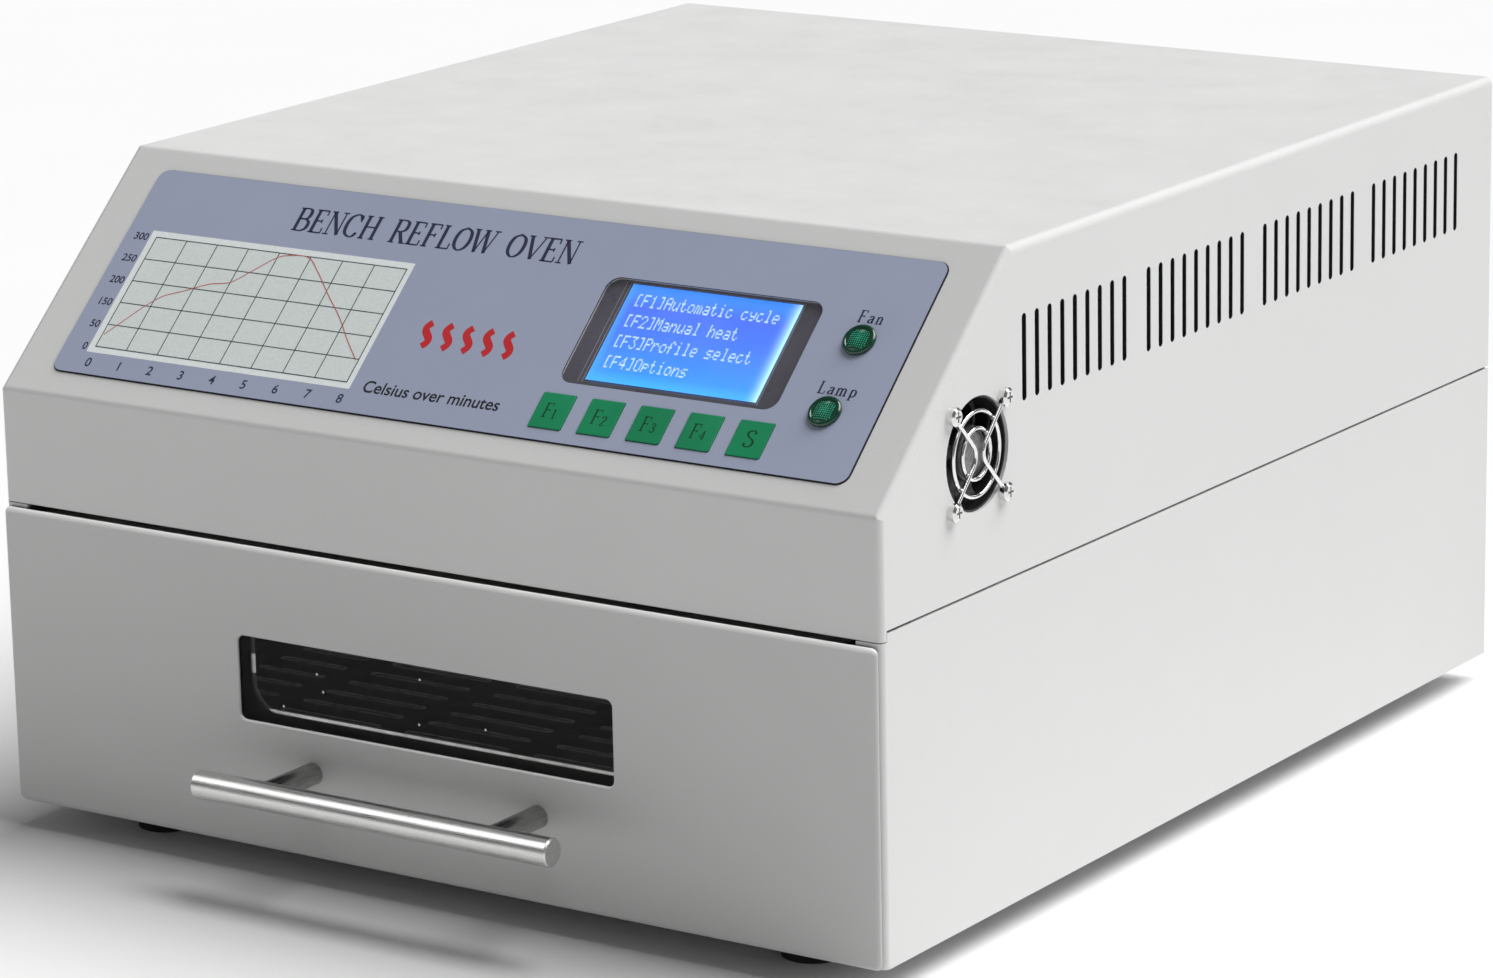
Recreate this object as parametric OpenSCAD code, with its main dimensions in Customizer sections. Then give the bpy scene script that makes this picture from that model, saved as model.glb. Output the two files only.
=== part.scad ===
// Bench-top infrared reflow oven with a sloping control panel and a pull-out soldering drawer.
// Every sub-part is one node. +Z is up, the front faces -Y, and the feet stand on Z = 0.
// "Case" coordinates start at the middle of the case's front face, at its underside.

/* [Case] */
// Width of the case
case_w = 370; // [366:1:390]
// Depth of the case, front face to rear panel
case_d = 430; // [425:1:450]
// Height of the case without its feet
case_h = 225.6; // [222:0.2:232]
// Thickness of the folded steel sheet
sheet_t = 1.2; // [1:0.1:1.3]
// Rounding of the folded edges
bend_r = 3; // [2.6:0.2:3.4]
// Height of the rubber feet
foot_h = 10; // [8:1:15]
// Diameter of the rubber feet
foot_d = 25; // [20:1:30]
// Height of the seam between the cover and the base
seam_z = 113.6; // [112:0.2:115]
// Lower edge of the fixed strip above the drawer
strip_z = 110.6; // [110.4:0.1:111]

/* [Control panel] */
// Height of the fold at the foot of the sloping panel
slope_z = 152; // [150:0.5:154]
// Depth of the sloping panel, front to back
slope_run = 80.7; // [79:0.1:82]
// Width of the printed overlay
overlay_w = 334; // [330:1:340]
// Thickness of the printed overlay
overlay_t = 0.6; // [0.4:0.1:0.8]
// Width of one key
key_w = 13.2; // [12:0.2:14]
// Height of one key
key_h = 14; // [12:0.2:15]
// Spacing of the keys
key_pitch = 19.85; // [19:0.05:21]
// Travel of a key
key_travel = 0.5; // [0.3:0.1:0.6]

/* [Drawer] */
// Height of the drawer front
front_h = 109; // [108:0.5:110]
// Thickness of the drawer front
front_t = 1.2; // [1:0.1:1.6]
// Width of the window
window_w = 159; // [150:1:164]
// Height of the window
window_h = 30.4; // [28:0.2:32]
// Height of the middle of the window
window_z = 61.2; // [60:0.2:62]
// Diameter of the handle bar
bar_d = 10; // [9:0.5:12]
// Length of the handle bar
bar_len = 150.5; // [140:0.5:165]
// Distance from the case front to the middle of the handle bar
bar_reach = 31.5; // [29:0.5:38]
// Height of the handle bar
bar_z = 31; // [28:0.1:33]
// Spacing of the handle posts
post_pitch = 96; // [90:1:110]
// Height of the slotted tray's top
tray_z = 30.8; // [29:0.2:31]
// Length of a long tray slot
slot_len = 44.5; // [40:0.5:46]

/* [Ventilation] */
// Spacing of the side slots
vent_pitch = 8.2; // [8:0.1:8.4]
// Height of a side slot
vent_h = 29.6; // [26:0.2:32]
// Width of a side slot
vent_w = 2.8; // [2:0.1:3.2]
// Number of slots in a group
vent_count = 9; // [6:1:9]
// Number of groups along one side
vent_groups = 4; // [2:1:4]
// Size of the square side fan
side_fan = 40; // [40:1:40]
// Size of the square exhaust fan
exhaust_fan = 80; // [80:1:80]

/* [Hidden] */

$fn = 48;
gap = 0.2;
cut = 5;
sides = [-1, 1];

// The case front is placed so that the handle in front and the screw heads behind balance.
screw_head_h = 2.4;
guard_wire = 1.8;
guard_eye = 0.9;
rear_reach = guard_wire + screw_head_h;
handle_reach = bar_reach + bar_d / 2;
front_y = -(case_d + rear_reach - handle_reach) / 2;

inner_x = case_w / 2 - sheet_t;
slope_a = atan((case_h - slope_z) / slope_run);

// M3 and M4 fasteners
m3_r = 1.5;
m4_r = 2;
hole_play = 0.12;
head3_r = 3.2;
head4_r = 3.9;

// Control panel, in slope coordinates: x across, y up the slope, z outwards
overlay_low = 10.2;
overlay_high = 99.5;
lcd_c = [85, 56];
lcd_size = [87, 44];
lcd_view = [68.5, 40.1];
lcd_view_c = [85.25, 56.35];
key_y = 21.9;
key_x0 = 85.3 - 2 * key_pitch;
lamp_r = 6;
lamp_spots = [[147.5, 65], [147.6, 36]];
board_back = -9.6;
board_t = 1.6;
board_front = board_back + board_t;
board_lo = [29, 6];
board_hi = [157, 89];
standoff_inset = 4.5;

// Drawer slides, in a section that starts at the bracket and runs towards the drawer
pan_x = 159.6;
slide_x = 172.6;
slide_z = 31.5;
slide_len = 348;
slide_y = 22;

// Heating chamber
hood_x = 167.2;
hood_y0 = 23.5;
hood_y1 = 394.2;
hood_top = 104.2;
hood_low = 56;
deck_z = 126;
tube_z = 91;
tube_r = 5;
cap_r = 6.8;
tube_half = 152;
tube_rows = [80, 170, 260, 350];
spacer_spots = [[-130, 60], [130, 60], [-130, 372], [130, 372]];
probe_spots = [[-157, 125], [157, 300]];
probe_r = 1;

// Rear panel fittings
panel_y = case_d - sheet_t;
exhaust_z = 70;
exhaust_pitch = 71.5;
exhaust_depth = 25;
inlet_x = 132;
inlet_z = 44;
switch_z = 84;
switch_size = [28, 22];

// Side fan
fan_y = 59.2;
fan_z = 160.3;
fan_pitch = 32;
fan_depth = 10;
side_hole_r = 19.4;

feet_spots = [for (x = [-139, 139], y = [27, case_d - 27]) [x, y]];
rear_spots = [
    for (x = [-177, 177], z = [22, 84, 119.5, 183]) [x, z],
    for (x = [-90, 90]) [x, case_h - 9]
];

// ---------- helpers ----------

module at_case() {
    translate([0, front_y, foot_h]) children();
}

module on_slope() {
    translate([0, front_y, foot_h + slope_z]) rotate([slope_a, 0, 0]) children();
}

// Right side face: local x runs back, local y up, local z outwards
module on_side() {
    translate([case_w / 2, front_y + fan_y, foot_h + fan_z]) rotate([90, 0, 90]) children();
}

// Rear face: local x runs to -X, local y up, local z outwards
module on_rear(x, z) {
    translate([x, front_y + case_d, foot_h + z]) rotate([90, 0, 180]) children();
}

module block(lo, hi) {
    translate(lo) cube(hi - lo);
}

module both_sides() {
    children();
    mirror([1, 0, 0]) children();
}

module rounded_rect(w, h, r) {
    square([w - 2 * r, h], center = true);
    square([w, h - 2 * r], center = true);
    for (sx = sides, sy = sides)
        translate([sx * (w / 2 - r), sy * (h / 2 - r)]) circle(r);
}

module slab(w, h, r, z0, z1) {
    translate([0, 0, z0]) linear_extrude(z1 - z0) rounded_rect(w, h, r);
}

// A slot with round ends, its length along x
module slot(len, w) {
    square([len - w, w], center = true);
    for (s = sides) translate([s * (len - w) / 2, 0]) circle(w / 2);
}

module rod(r, z0, z1) {
    translate([0, 0, z0]) cylinder(r = r, h = z1 - z0);
}

module corners(pitch_x, pitch_y) {
    for (sx = sides, sy = sides) translate([sx * pitch_x / 2, sy * pitch_y / 2, 0]) children();
}

// Cross-recessed pan-head screw: the head stands on z = 0 and the shank runs down
module pan_screw(shank_r, head_r, head_h, len) {
    crown = 0.35 * head_h;
    difference() {
        union() {
            rod(shank_r, -len, crown);
            rod(head_r, 0, head_h - crown);
            translate([0, 0, head_h - crown]) cylinder(r1 = head_r, r2 = head_r * 0.72, h = crown);
        }
        for (turn = [0, 90]) rotate(turn)
            translate([-head_r * 0.55, -head_r * 0.11, head_h * 0.45])
                cube([head_r * 1.1, head_r * 0.22, head_h]);
    }
}

module m3_screw(len) {
    pan_screw(m3_r, head3_r, screw_head_h - 0.4, len);
}

module hex_nut(r, across, h) {
    difference() {
        cylinder(r = across / 2 / cos(30), h = h, $fn = 6);
        rod(r + hole_play, -cut, h + cut);
    }
}

// ---------- case sheets ----------

// Points of a round corner at q, on the way from p to s
function fillet(p, q, s, r, steps = 5) =
    let (
        a = (p - q) / norm(p - q),
        b = (s - q) / norm(s - q),
        half = acos(a * b) / 2,
        centre = q + (a + b) / norm(a + b) * r / sin(half),
        start = q + a * r / tan(half) - centre,
        turn = (cross(a, b) < 0 ? 1 : -1) * (180 - 2 * half)
    )
    [
        for (k = [0:steps])
            let (t = turn * k / steps)
            centre + [start.x * cos(t) - start.y * sin(t), start.x * sin(t) + start.y * cos(t)]
    ];

// Solid the cover is folded around, drawn in by inset and open downwards and backwards by extra.
// The three families of folds have slightly different radii, so their round edges cross cleanly.
module cover_form(inset, extra) {
    r = bend_r - inset;
    w = case_w - 2 * inset;
    low = strip_z - extra;
    back = case_d + extra;
    top_fall = inset * tan(slope_a / 2);
    foot_fall = inset * tan((90 - slope_a) / 2);
    tall = case_h - low - inset;
    front_low = [-inset, low];
    foot = [-inset, slope_z - foot_fall];
    brow = [-slope_run - top_fall, case_h - inset];
    back_high = [-back, case_h - inset];
    intersection() {
        translate([w / 2, 0, 0]) rotate([90, 0, -90]) linear_extrude(w) polygon([
            front_low,
            each fillet(front_low, foot, brow, r),
            each fillet(foot, brow, back_high, r),
            back_high,
            [-back, low]
        ]);
        translate([0, back, case_h - inset - tall]) rotate([90, 0, 0])
            linear_extrude(back) rounded_rect(w, 2 * tall, r);
        translate([0, back + inset, low]) linear_extrude(tall) rounded_rect(w, 2 * back, 0.8 * r);
        translate([0, 0, slope_z]) rotate([slope_a, 0, 0])
            translate([0, -case_h, -inset - case_d]) rotate([-90, 0, 0])
                linear_extrude(2 * case_d) rounded_rect(w, 2 * case_d, 0.9 * r);
    }
}

module vent_slots() {
    for (g = [0:vent_groups - 1], k = [0:vent_count - 1])
        translate([89 + (g * 10 + k) * vent_pitch, 172 + vent_h / 2]) rotate(90) slot(vent_h, vent_w);
}

module panel_holes(play, deep) {
    for (k = [0:4]) translate([key_x0 + k * key_pitch, key_y, -deep])
        linear_extrude(deep + cut) rounded_rect(key_w + 2 * play, key_h + 2 * play, 0.8);
    translate([lcd_c.x, lcd_c.y, -deep])
        linear_extrude(deep + cut) rounded_rect(lcd_size.x + 2 * play, lcd_size.y + 2 * play, 5);
    for (p = lamp_spots) translate([p.x, p.y, -deep]) cylinder(r = lamp_r - 0.8, h = deep + cut);
}

module rear_flanges(z0, z1) {
    for (s = sides)
        block(
            [min(s * inner_x, s * (inner_x - 13)), panel_y - sheet_t, z0],
            [max(s * inner_x, s * (inner_x - 13)), panel_y, z1]
        );
}

module rear_screw_holes(r) {
    for (p = rear_spots)
        translate([p.x, case_d + cut, p.y]) rotate([90, 0, 0]) cylinder(r = r, h = 4 * cut);
}

module top_cover() {
    color("gainsboro") {
        difference() {
            at_case() difference() {
                union() {
                    difference() {
                        cover_form(0, 0);
                        cover_form(sheet_t, 30);
                        for (s = sides) translate([s * case_w / 2, 0, 0])
                            block([-cut, sheet_t + 1.7, 0], [cut, case_d + cut, seam_z + 0.5]);
                    }
                    block([-inner_x + 1, sheet_t - 0.2, strip_z], [inner_x - 1, 14, strip_z + sheet_t]);
                    rear_flanges(seam_z + 2, case_h - sheet_t - 1);
                    block(
                        [-inner_x + 13, panel_y - sheet_t, case_h - 15],
                        [inner_x - 13, panel_y, case_h - sheet_t + 0.2]
                    );
                }
                translate([-case_w, 0, 0]) rotate([90, 0, 90]) linear_extrude(2 * case_w) vent_slots();
                rear_screw_holes(m3_r + hole_play);
            }
            on_slope() panel_holes(0.6, 8);
            on_side() {
                rod(side_hole_r, -cut, cut);
                corners(fan_pitch, fan_pitch) rod(m3_r + hole_play, -cut, cut);
            }
        }
    }
}

module base_tray() {
    top = strip_z - 0.4;
    color("lightgray") at_case() difference() {
        union() {
            intersection() {
                union() {
                    block([-case_w / 2, 0, 0], [case_w / 2, case_d, sheet_t]);
                    for (s = sides) translate([s * (case_w / 2 - sheet_t / 2), 0, 0]) {
                        block([-sheet_t / 2, 0, 0], [sheet_t / 2, case_d, top]);
                        block([-sheet_t / 2, sheet_t + 2, 0], [sheet_t / 2, case_d, seam_z - 0.5]);
                    }
                    for (s = sides) translate([s * (case_w / 2 - 5), 0, 0])
                        block([-5, 0, 0], [5, sheet_t, top]);
                    block([-case_w / 2, 0, 0], [case_w / 2, sheet_t, 9]);
                }
                translate([0, 2 * case_d, 0]) linear_extrude(case_h)
                    rounded_rect(case_w, 4 * case_d, 0.8 * bend_r);
            }
            rear_flanges(0, seam_z - 0.5);
            block([-inner_x, panel_y - sheet_t, 0], [inner_x, panel_y, 14]);
        }
        for (p = feet_spots) translate([p.x, p.y, 0]) rod(m4_r + hole_play, -cut, cut);
        rear_screw_holes(m3_r + hole_play);
    }
}

module rear_panel() {
    color("gainsboro") difference() {
        at_case() difference() {
            block([-inner_x + gap, panel_y, sheet_t + gap], [inner_x - gap, case_d, case_h - sheet_t - gap]);
            rear_screw_holes(m3_r + hole_play);
        }
        on_rear(0, exhaust_z) {
            rod(38, -cut, cut);
            corners(exhaust_pitch, exhaust_pitch) rod(m3_r + hole_play, -cut, cut);
        }
        on_rear(inlet_x, inlet_z) {
            slab(28.6, 34.6, 1, -cut, cut);
            corners(40, 0) rod(m3_r + hole_play, -cut, cut);
        }
        on_rear(inlet_x, switch_z)
            slab(switch_size.x - 1.6, switch_size.y - 1.6, 1, -cut, cut);
    }
}

module deck_plate() {
    half = inner_x - gap;
    color("silver") at_case() difference() {
        union() {
            block([-half, 20, deck_z], [half, panel_y - 12, deck_z + sheet_t]);
            for (s = sides) translate([s * (half - sheet_t / 2), 0, 0])
                block([-sheet_t / 2, 20, 100], [sheet_t / 2, panel_y - 12, deck_z + 0.5]);
        }
        for (p = power_spots) translate([p.x, p.y, deck_z]) rod(m3_r + hole_play, -cut, cut);
    }
}

module feet() {
    color("dimgray") at_case() for (p = feet_spots) translate([p.x, p.y, -foot_h]) difference() {
        cylinder(d1 = foot_d - 3, d2 = foot_d, h = foot_h);
        rod(head4_r + 1, -cut, foot_h / 2);
        rod(m4_r + hole_play, -cut, foot_h + cut);
    }
}

module foot_screws() {
    color("silver") at_case() for (p = feet_spots)
        translate([p.x, p.y, -foot_h / 2]) mirror([0, 0, 1]) pan_screw(m4_r, head4_r, 2.6, foot_h / 2 + 6);
}

module case_screws() {
    color("silver") {
        for (p = rear_spots) on_rear(p.x, p.y) m3_screw(7);
        on_rear(inlet_x, inlet_z) translate([0, 0, 2.5]) corners(40, 0) m3_screw(8);
        on_slope() for (p = board_spots) translate([p.x, p.y, board_back]) mirror([0, 0, 1]) m3_screw(6);
    }
}

// ---------- control panel ----------

board_spots = [
    for (x = [board_lo.x + standoff_inset, board_hi.x - standoff_inset])
        for (y = [board_lo.y + standoff_inset, board_hi.y - standoff_inset]) [x, y]
];

module control_overlay() {
    color("lightslategray") on_slope() difference() {
        translate([0, (overlay_low + overlay_high) / 2, 0])
            slab(overlay_w, overlay_high - overlay_low, 4.2, 0, overlay_t);
        for (k = [0:4]) translate([key_x0 + k * key_pitch, key_y, 0])
            slab(key_w + 0.5, key_h + 0.5, 0.8, -cut, cut);
        translate([lcd_c.x, lcd_c.y, 0]) slab(lcd_size.x + 0.2, lcd_size.y + 0.2, 5, -cut, cut);
        for (p = lamp_spots) translate([p.x, p.y, 0]) rod(lamp_r - 0.8, -cut, cut);
    }
}

module lcd_window() {
    color([0.7, 0.75, 0.85, 0.4]) on_slope() translate([lcd_c.x, lcd_c.y, 0])
        slab(lcd_size.x, lcd_size.y, 4.9, -1, overlay_t - 0.1);
}

module lcd_bezel() {
    color("darkslategray") on_slope() difference() {
        translate([lcd_c.x, lcd_c.y, 0]) slab(92, 49, 1, -3.2, -1.3);
        translate([lcd_view_c.x, lcd_view_c.y, 0]) slab(lcd_view.x, lcd_view.y, 0.6, -cut, cut);
    }
}

module lcd_display() {
    color("royalblue") on_slope() {
        translate([lcd_c.x, lcd_c.y, 0]) slab(84, 46, 1, board_front, -3.3);
        translate([lcd_view_c.x, lcd_view_c.y, 0])
            slab(lcd_view.x - 0.4, lcd_view.y - 0.4, 0.5, -3.4, -1.6);
    }
}

module control_board() {
    color("darkgreen") on_slope() difference() {
        block([board_lo.x, board_lo.y, board_back], [board_hi.x, board_hi.y, board_front]);
        for (p = board_spots) translate([p.x, p.y, 0]) rod(m3_r + hole_play, -4 * cut, 0);
    }
}

module board_standoffs() {
    color("goldenrod") {
        on_slope() for (p = board_spots) translate([p.x, p.y, 0]) difference() {
            rod(3, board_front, -sheet_t);
            rod(m3_r + hole_play, board_front - cut, board_front + 5);
        }
        at_case() for (p = power_spots) translate([p.x, p.y, deck_z + sheet_t]) cylinder(r = 3, h = 8);
    }
}

module key_cap(k) {
    on_slope() translate([key_x0 + k * key_pitch, key_y, 0]) {
        slab(key_w, key_h, 0.6, -1.6, overlay_t + 0.35);
        slab(key_w + 3, key_h + 3, 1, -2.7, -1.6);
        rod(m3_r, board_front + 1.5 + key_travel, -2.7);
    }
}

module key_f1() {
    color("seagreen") key_cap(0);
}

module key_f2() {
    color("seagreen") key_cap(1);
}

module key_f3() {
    color("seagreen") key_cap(2);
}

module key_f4() {
    color("seagreen") key_cap(3);
}

module key_s() {
    color("seagreen") key_cap(4);
}

module key_switches() {
    color("dimgray") on_slope() for (k = [0:4]) translate([key_x0 + k * key_pitch, key_y, 0])
        difference() {
            slab(6, 6, 0.5, board_front, board_front + 3.6);
            rod(m3_r + 0.2, board_front + 0.8, 0);
        }
}

module indicator_lenses() {
    dome_h = 3.6;
    dome_r = (lamp_r * lamp_r + dome_h * dome_h) / (2 * dome_h);
    color("green") on_slope() for (p = lamp_spots) translate([p.x, p.y, 0]) {
        rod(3, board_front, -2.5);
        rod(lamp_r - 1, -3, overlay_t + 0.1);
        rod(lamp_r + 0.7, overlay_t, overlay_t + 0.8);
        intersection() {
            translate([0, 0, overlay_t + 0.7 + dome_h - dome_r]) sphere(dome_r);
            rod(lamp_r, overlay_t + 0.7, overlay_t + 10);
        }
    }
}

// ---------- electronics above the deck ----------

power_lo = [-50, 190];
power_hi = [80, 300];
power_z = deck_z + sheet_t + 8;
power_spots = [for (x = [power_lo.x + 5, power_hi.x - 5], y = [power_lo.y + 5, power_hi.y - 5]) [x, y]];

module power_board() {
    color("darkgreen") at_case() difference() {
        block([power_lo.x, power_lo.y, power_z], [power_hi.x, power_hi.y, power_z + board_t]);
        for (p = power_spots) translate([p.x, p.y, power_z]) rod(m3_r + hole_play, -cut, cut);
    }
}

module board_parts() {
    color("steelblue") at_case() translate([power_lo.x, power_lo.y, power_z + board_t]) {
        for (k = [0:2]) translate([22 + 16 * k, 25, 0]) cylinder(d = 12.5, h = 21);
        translate([30, 80, 0]) cylinder(d = 22, h = 31);
        for (k = [0:1]) block([58 + 22 * k, 70, 0], [76 + 22 * k, 92, 16]);
        block([16, 99, 0], [66, 108, 12]);
        block([80, 12, 0], [118, 20, 11]);
        translate([75, 45, 0]) cylinder(d = 30, h = 9);
    }
}

module heat_sink() {
    color("darkgray") at_case() translate([105, 200, deck_z + sheet_t]) {
        block([0, 0, 0], [6, 90, 46]);
        for (k = [0:8]) block([5.5, 1 + 10.5 * k, 0], [34, 4 + 10.5 * k, 46]);
        for (k = [0:2]) block([-4.6, 16 + 26 * k, 20], [0, 32 + 26 * k, 38]);
    }
}

module transformer_core() {
    color("slategray") at_case() translate([-118, 235, deck_z + sheet_t]) difference() {
        block([-27, -24, 0], [27, 24, 45]);
        for (s = sides) translate([s * 13.5, 0, 0]) block([-4.5, -30, 9], [4.5, 30, 36]);
    }
}

module transformer_coil() {
    color("goldenrod") at_case() translate([-118, 235, deck_z + sheet_t]) difference() {
        block([-17.8, -33, 9.3], [17.8, 33, 35.7]);
        block([-9.2, -24.2, 0], [9.2, 24.2, 50]);
    }
}

// ---------- fans ----------

// Square axial fan: local z = 0 is the face against the sheet and the frame runs down from it
module fan_frame(size, depth, pitch, hub_r) {
    bore_r = size / 2 - 1.4;
    rim = max(3, depth * 0.16);
    difference() {
        union() {
            rod(size / 2 - 0.2, -depth, 0);
            slab(size, size, size * 0.07, -rim, 0);
            slab(size, size, size * 0.07, -depth, -depth + rim);
        }
        rod(bore_r, -depth - cut, cut);
        corners(pitch, pitch) rod(m3_r + hole_play, -depth - cut, cut);
    }
    rod(hub_r, -depth, -depth + 1.5);
    for (k = [0:3]) rotate(45 + 90 * k + 12)
        translate([hub_r - 1, -1.2, -depth]) cube([bore_r - hub_r + 1.6, 2.4, 1.5]);
    rod(hub_r * 0.2, -depth, -depth * 0.45);
}

module fan_rotor(size, depth, hub_r, blades) {
    tip_r = size / 2 - 2.6;
    low = -depth + 2.2;
    blade_t = size * 0.018 + 0.25;
    span = -1 - low;
    difference() {
        union() {
            rod(hub_r, low, -1);
            intersection() {
                for (k = [0:blades - 1]) rotate(k * 360 / blades)
                    translate([0, 0, low + span / 2]) rotate([42, 0, 0])
                        translate([hub_r - 0.8, -blade_t / 2, -size * 0.2])
                            cube([size / 2, blade_t, size * 0.4]);
                rod(tip_r, low + 0.2, -1.2);
            }
        }
        rod(hub_r * 0.2 + 0.05, -depth - cut, -depth * 0.45 + 0.3);
    }
}

module side_fan_frame() {
    color("dimgray") on_side() translate([0, 0, -sheet_t]) fan_frame(side_fan, fan_depth, fan_pitch, 9.5);
}

module side_fan_rotor() {
    color("dimgray") on_side() translate([0, 0, -sheet_t]) fan_rotor(side_fan, fan_depth, 9.5, 7);
}

module exhaust_fan_frame() {
    color("dimgray") on_rear(0, exhaust_z) translate([0, 0, -sheet_t])
        fan_frame(exhaust_fan, exhaust_depth, exhaust_pitch, 17);
}

module exhaust_fan_rotor() {
    color("dimgray") on_rear(0, exhaust_z) translate([0, 0, -sheet_t])
        fan_rotor(exhaust_fan, exhaust_depth, 17, 7);
}

module ring(r, wire_r, z) {
    translate([0, 0, z]) rotate_extrude() translate([r, 0]) circle(wire_r, $fn = 16);
}

// One guard wire: straight from each screw to a bend beside the middle
module bent_wire(half, wire_r, waist, bend_r) {
    centre = waist + bend_r;
    reach = norm([half - centre, half]);
    touch = atan2(half, half - centre) + acos(bend_r / reach);
    translate([centre, 0, wire_r]) {
        rotate(touch) rotate_extrude(angle = 360 - 2 * touch)
            translate([bend_r, 0]) circle(wire_r, $fn = 16);
        for (s = [0, 1]) mirror([0, s, 0]) rotate(touch) translate([bend_r, 0, 0]) rotate([90, 0, 0])
            cylinder(r = wire_r, h = sqrt(reach * reach - bend_r * bend_r), $fn = 16);
    }
}

// Wire guard: two bent wires run between the screws, with round rings welded behind them
module fan_guard(pitch, rings, wire_d, waist, bend_r) {
    wire_r = wire_d / 2;
    eye_r = 3.1;
    difference() {
        union() {
            for (s = [0, 180]) rotate(s) bent_wire(pitch / 2, wire_r, waist, bend_r);
            corners(pitch, pitch) rod(eye_r, 0, guard_eye);
            for (r = rings) ring(r, wire_r, -0.35 * wire_d);
        }
        corners(pitch, pitch) rod(m3_r + hole_play, -cut, cut);
        corners(pitch, pitch) rod(head3_r + 0.1, guard_eye, cut);
    }
}

module side_fan_guard() {
    color("silver") on_side() fan_guard(fan_pitch, [8.5, 14.3], 1.5, 2.4, 5.2);
}

module exhaust_fan_guard() {
    color("silver") on_rear(0, exhaust_z) fan_guard(exhaust_pitch, [9, 18, 27, 36], guard_wire, 5, 9);
}

module fan_screws() {
    color("silver") {
        on_side() translate([0, 0, guard_eye]) corners(fan_pitch, fan_pitch) m3_screw(16);
        on_rear(0, exhaust_z) translate([0, 0, guard_eye])
            corners(exhaust_pitch, exhaust_pitch) m3_screw(32);
    }
}

module fan_nuts() {
    color("silver") {
        on_side() translate([0, 0, -sheet_t - fan_depth - 2.4])
            corners(fan_pitch, fan_pitch) hex_nut(m3_r, 5.5, 2.4);
        on_rear(0, exhaust_z) translate([0, 0, -sheet_t - exhaust_depth - 2.4])
            corners(exhaust_pitch, exhaust_pitch) hex_nut(m3_r, 5.5, 2.4);
    }
}

// ---------- mains fittings on the rear panel ----------

module plug_cavity() {
    linear_extrude(20) polygon([
        [-12.2, -8], [12.2, -8], [12.2, 3.5], [7.4, 8], [-7.4, 8], [-12.2, 3.5]
    ]);
}

module power_inlet() {
    color("dimgray") on_rear(inlet_x, inlet_z) difference() {
        union() {
            slab(50, 37, 3, 0, 2.5);
            slab(28, 34, 1, -26, 0.1);
        }
        translate([0, 6.4, -15]) plug_cavity();
        translate([0, -10.8, 0]) slab(20.4, 8.4, 0.5, -20, cut);
        corners(40, 0) rod(m3_r + hole_play, -cut, 2 * cut);
    }
}

module inlet_pins() {
    color("silver") on_rear(inlet_x, inlet_z) translate([0, 6.4, 0])
        for (p = [[-7, -2], [0, 2.2], [7, -2]]) translate([p.x, p.y, 0])
            block([-1, -2, -15], [1, 2, -4]);
}

module fuse_drawer() {
    color("dimgray") on_rear(inlet_x, inlet_z) translate([0, -10.8, 0]) difference() {
        slab(19.8, 7.8, 0.5, -19, 3);
        block([-8, -2.6, -17], [8, 4.5, -8]);
        slab(12, 3, 1, 1.8, cut);
    }
}

module switch_frame() {
    color("dimgray") on_rear(inlet_x, switch_z) difference() {
        union() {
            slab(switch_size.x + 3, switch_size.y + 3, 2, 0, 2);
            slab(switch_size.x - 2.4, switch_size.y - 2.4, 1, -18, 0.1);
        }
        slab(21.4, 17, 0.8, -14, cut);
    }
}

// The rocker is a drum sector with two flats, shown with its lower half pressed in
rocker_pivot = -6;
rocker_a = 9;

module power_rocker() {
    color("black") on_rear(inlet_x, switch_z) translate([0, 0, rocker_pivot]) rotate([rocker_a, 0, 0])
        intersection() {
            rotate([0, 90, 0]) cylinder(r = 8.3, h = 20.6, center = true);
            union() for (s = sides) rotate([-s * rocker_a, 0, 0])
                block([-11, min(0, s * 12), -4], [11, max(0, s * 12), 6]);
        }
}

// ---------- heating chamber ----------

module chamber_hood() {
    t = sheet_t;
    color("silver") at_case() difference() {
        block([-hood_x, hood_y0, 12], [hood_x, hood_y1, hood_top]);
        block([-hood_x + t, hood_y0 - cut, 0], [hood_x - t, hood_y1 - t, hood_top - t]);
        block([-case_w, 0, 0], [case_w, hood_y1 - t, hood_low]);
        for (y = tube_rows) translate([0, y, tube_z]) rotate([0, 90, 0])
            cylinder(r = cap_r + 0.1, h = case_w, center = true);
        translate([0, hood_y1 - 2 * cut, exhaust_z]) rotate([-90, 0, 0]) cylinder(r = 29, h = 4 * cut);
        for (p = probe_spots) translate([p.x, p.y, hood_top]) rod(probe_r + 0.1, -cut, cut);
    }
}

module hood_insulation() {
    color("ivory") at_case() difference() {
        block([-hood_x + 2, hood_y0 + 3, hood_top], [hood_x - 2, hood_y1 - 3, deck_z - 2]);
        for (p = spacer_spots) translate([p.x, p.y, 0]) rod(4.4, 0, case_h);
        for (p = probe_spots) translate([p.x, p.y, 0]) rod(3.6, 0, case_h);
    }
}

module hood_spacers() {
    color("silver") at_case() for (p = spacer_spots) translate([p.x, p.y, 0]) rod(4, hood_top, deck_z);
}

module floor_insulation() {
    color("ivory") at_case() block([-122, 34, sheet_t], [122, 388, 11]);
}

module heater_tubes() {
    color([0.9, 0.9, 0.9, 0.5]) at_case() for (y = tube_rows)
        translate([-tube_half, y, tube_z]) rotate([0, 90, 0]) difference() {
            cylinder(r = tube_r, h = 2 * tube_half);
            rod(tube_r - 1, -cut, 2 * tube_half + cut);
        }
}

module heater_filaments() {
    color("orangered") at_case() for (y = tube_rows)
        translate([-tube_half, y, tube_z]) rotate([0, 90, 0]) cylinder(r = 1.4, h = 2 * tube_half);
}

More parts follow.
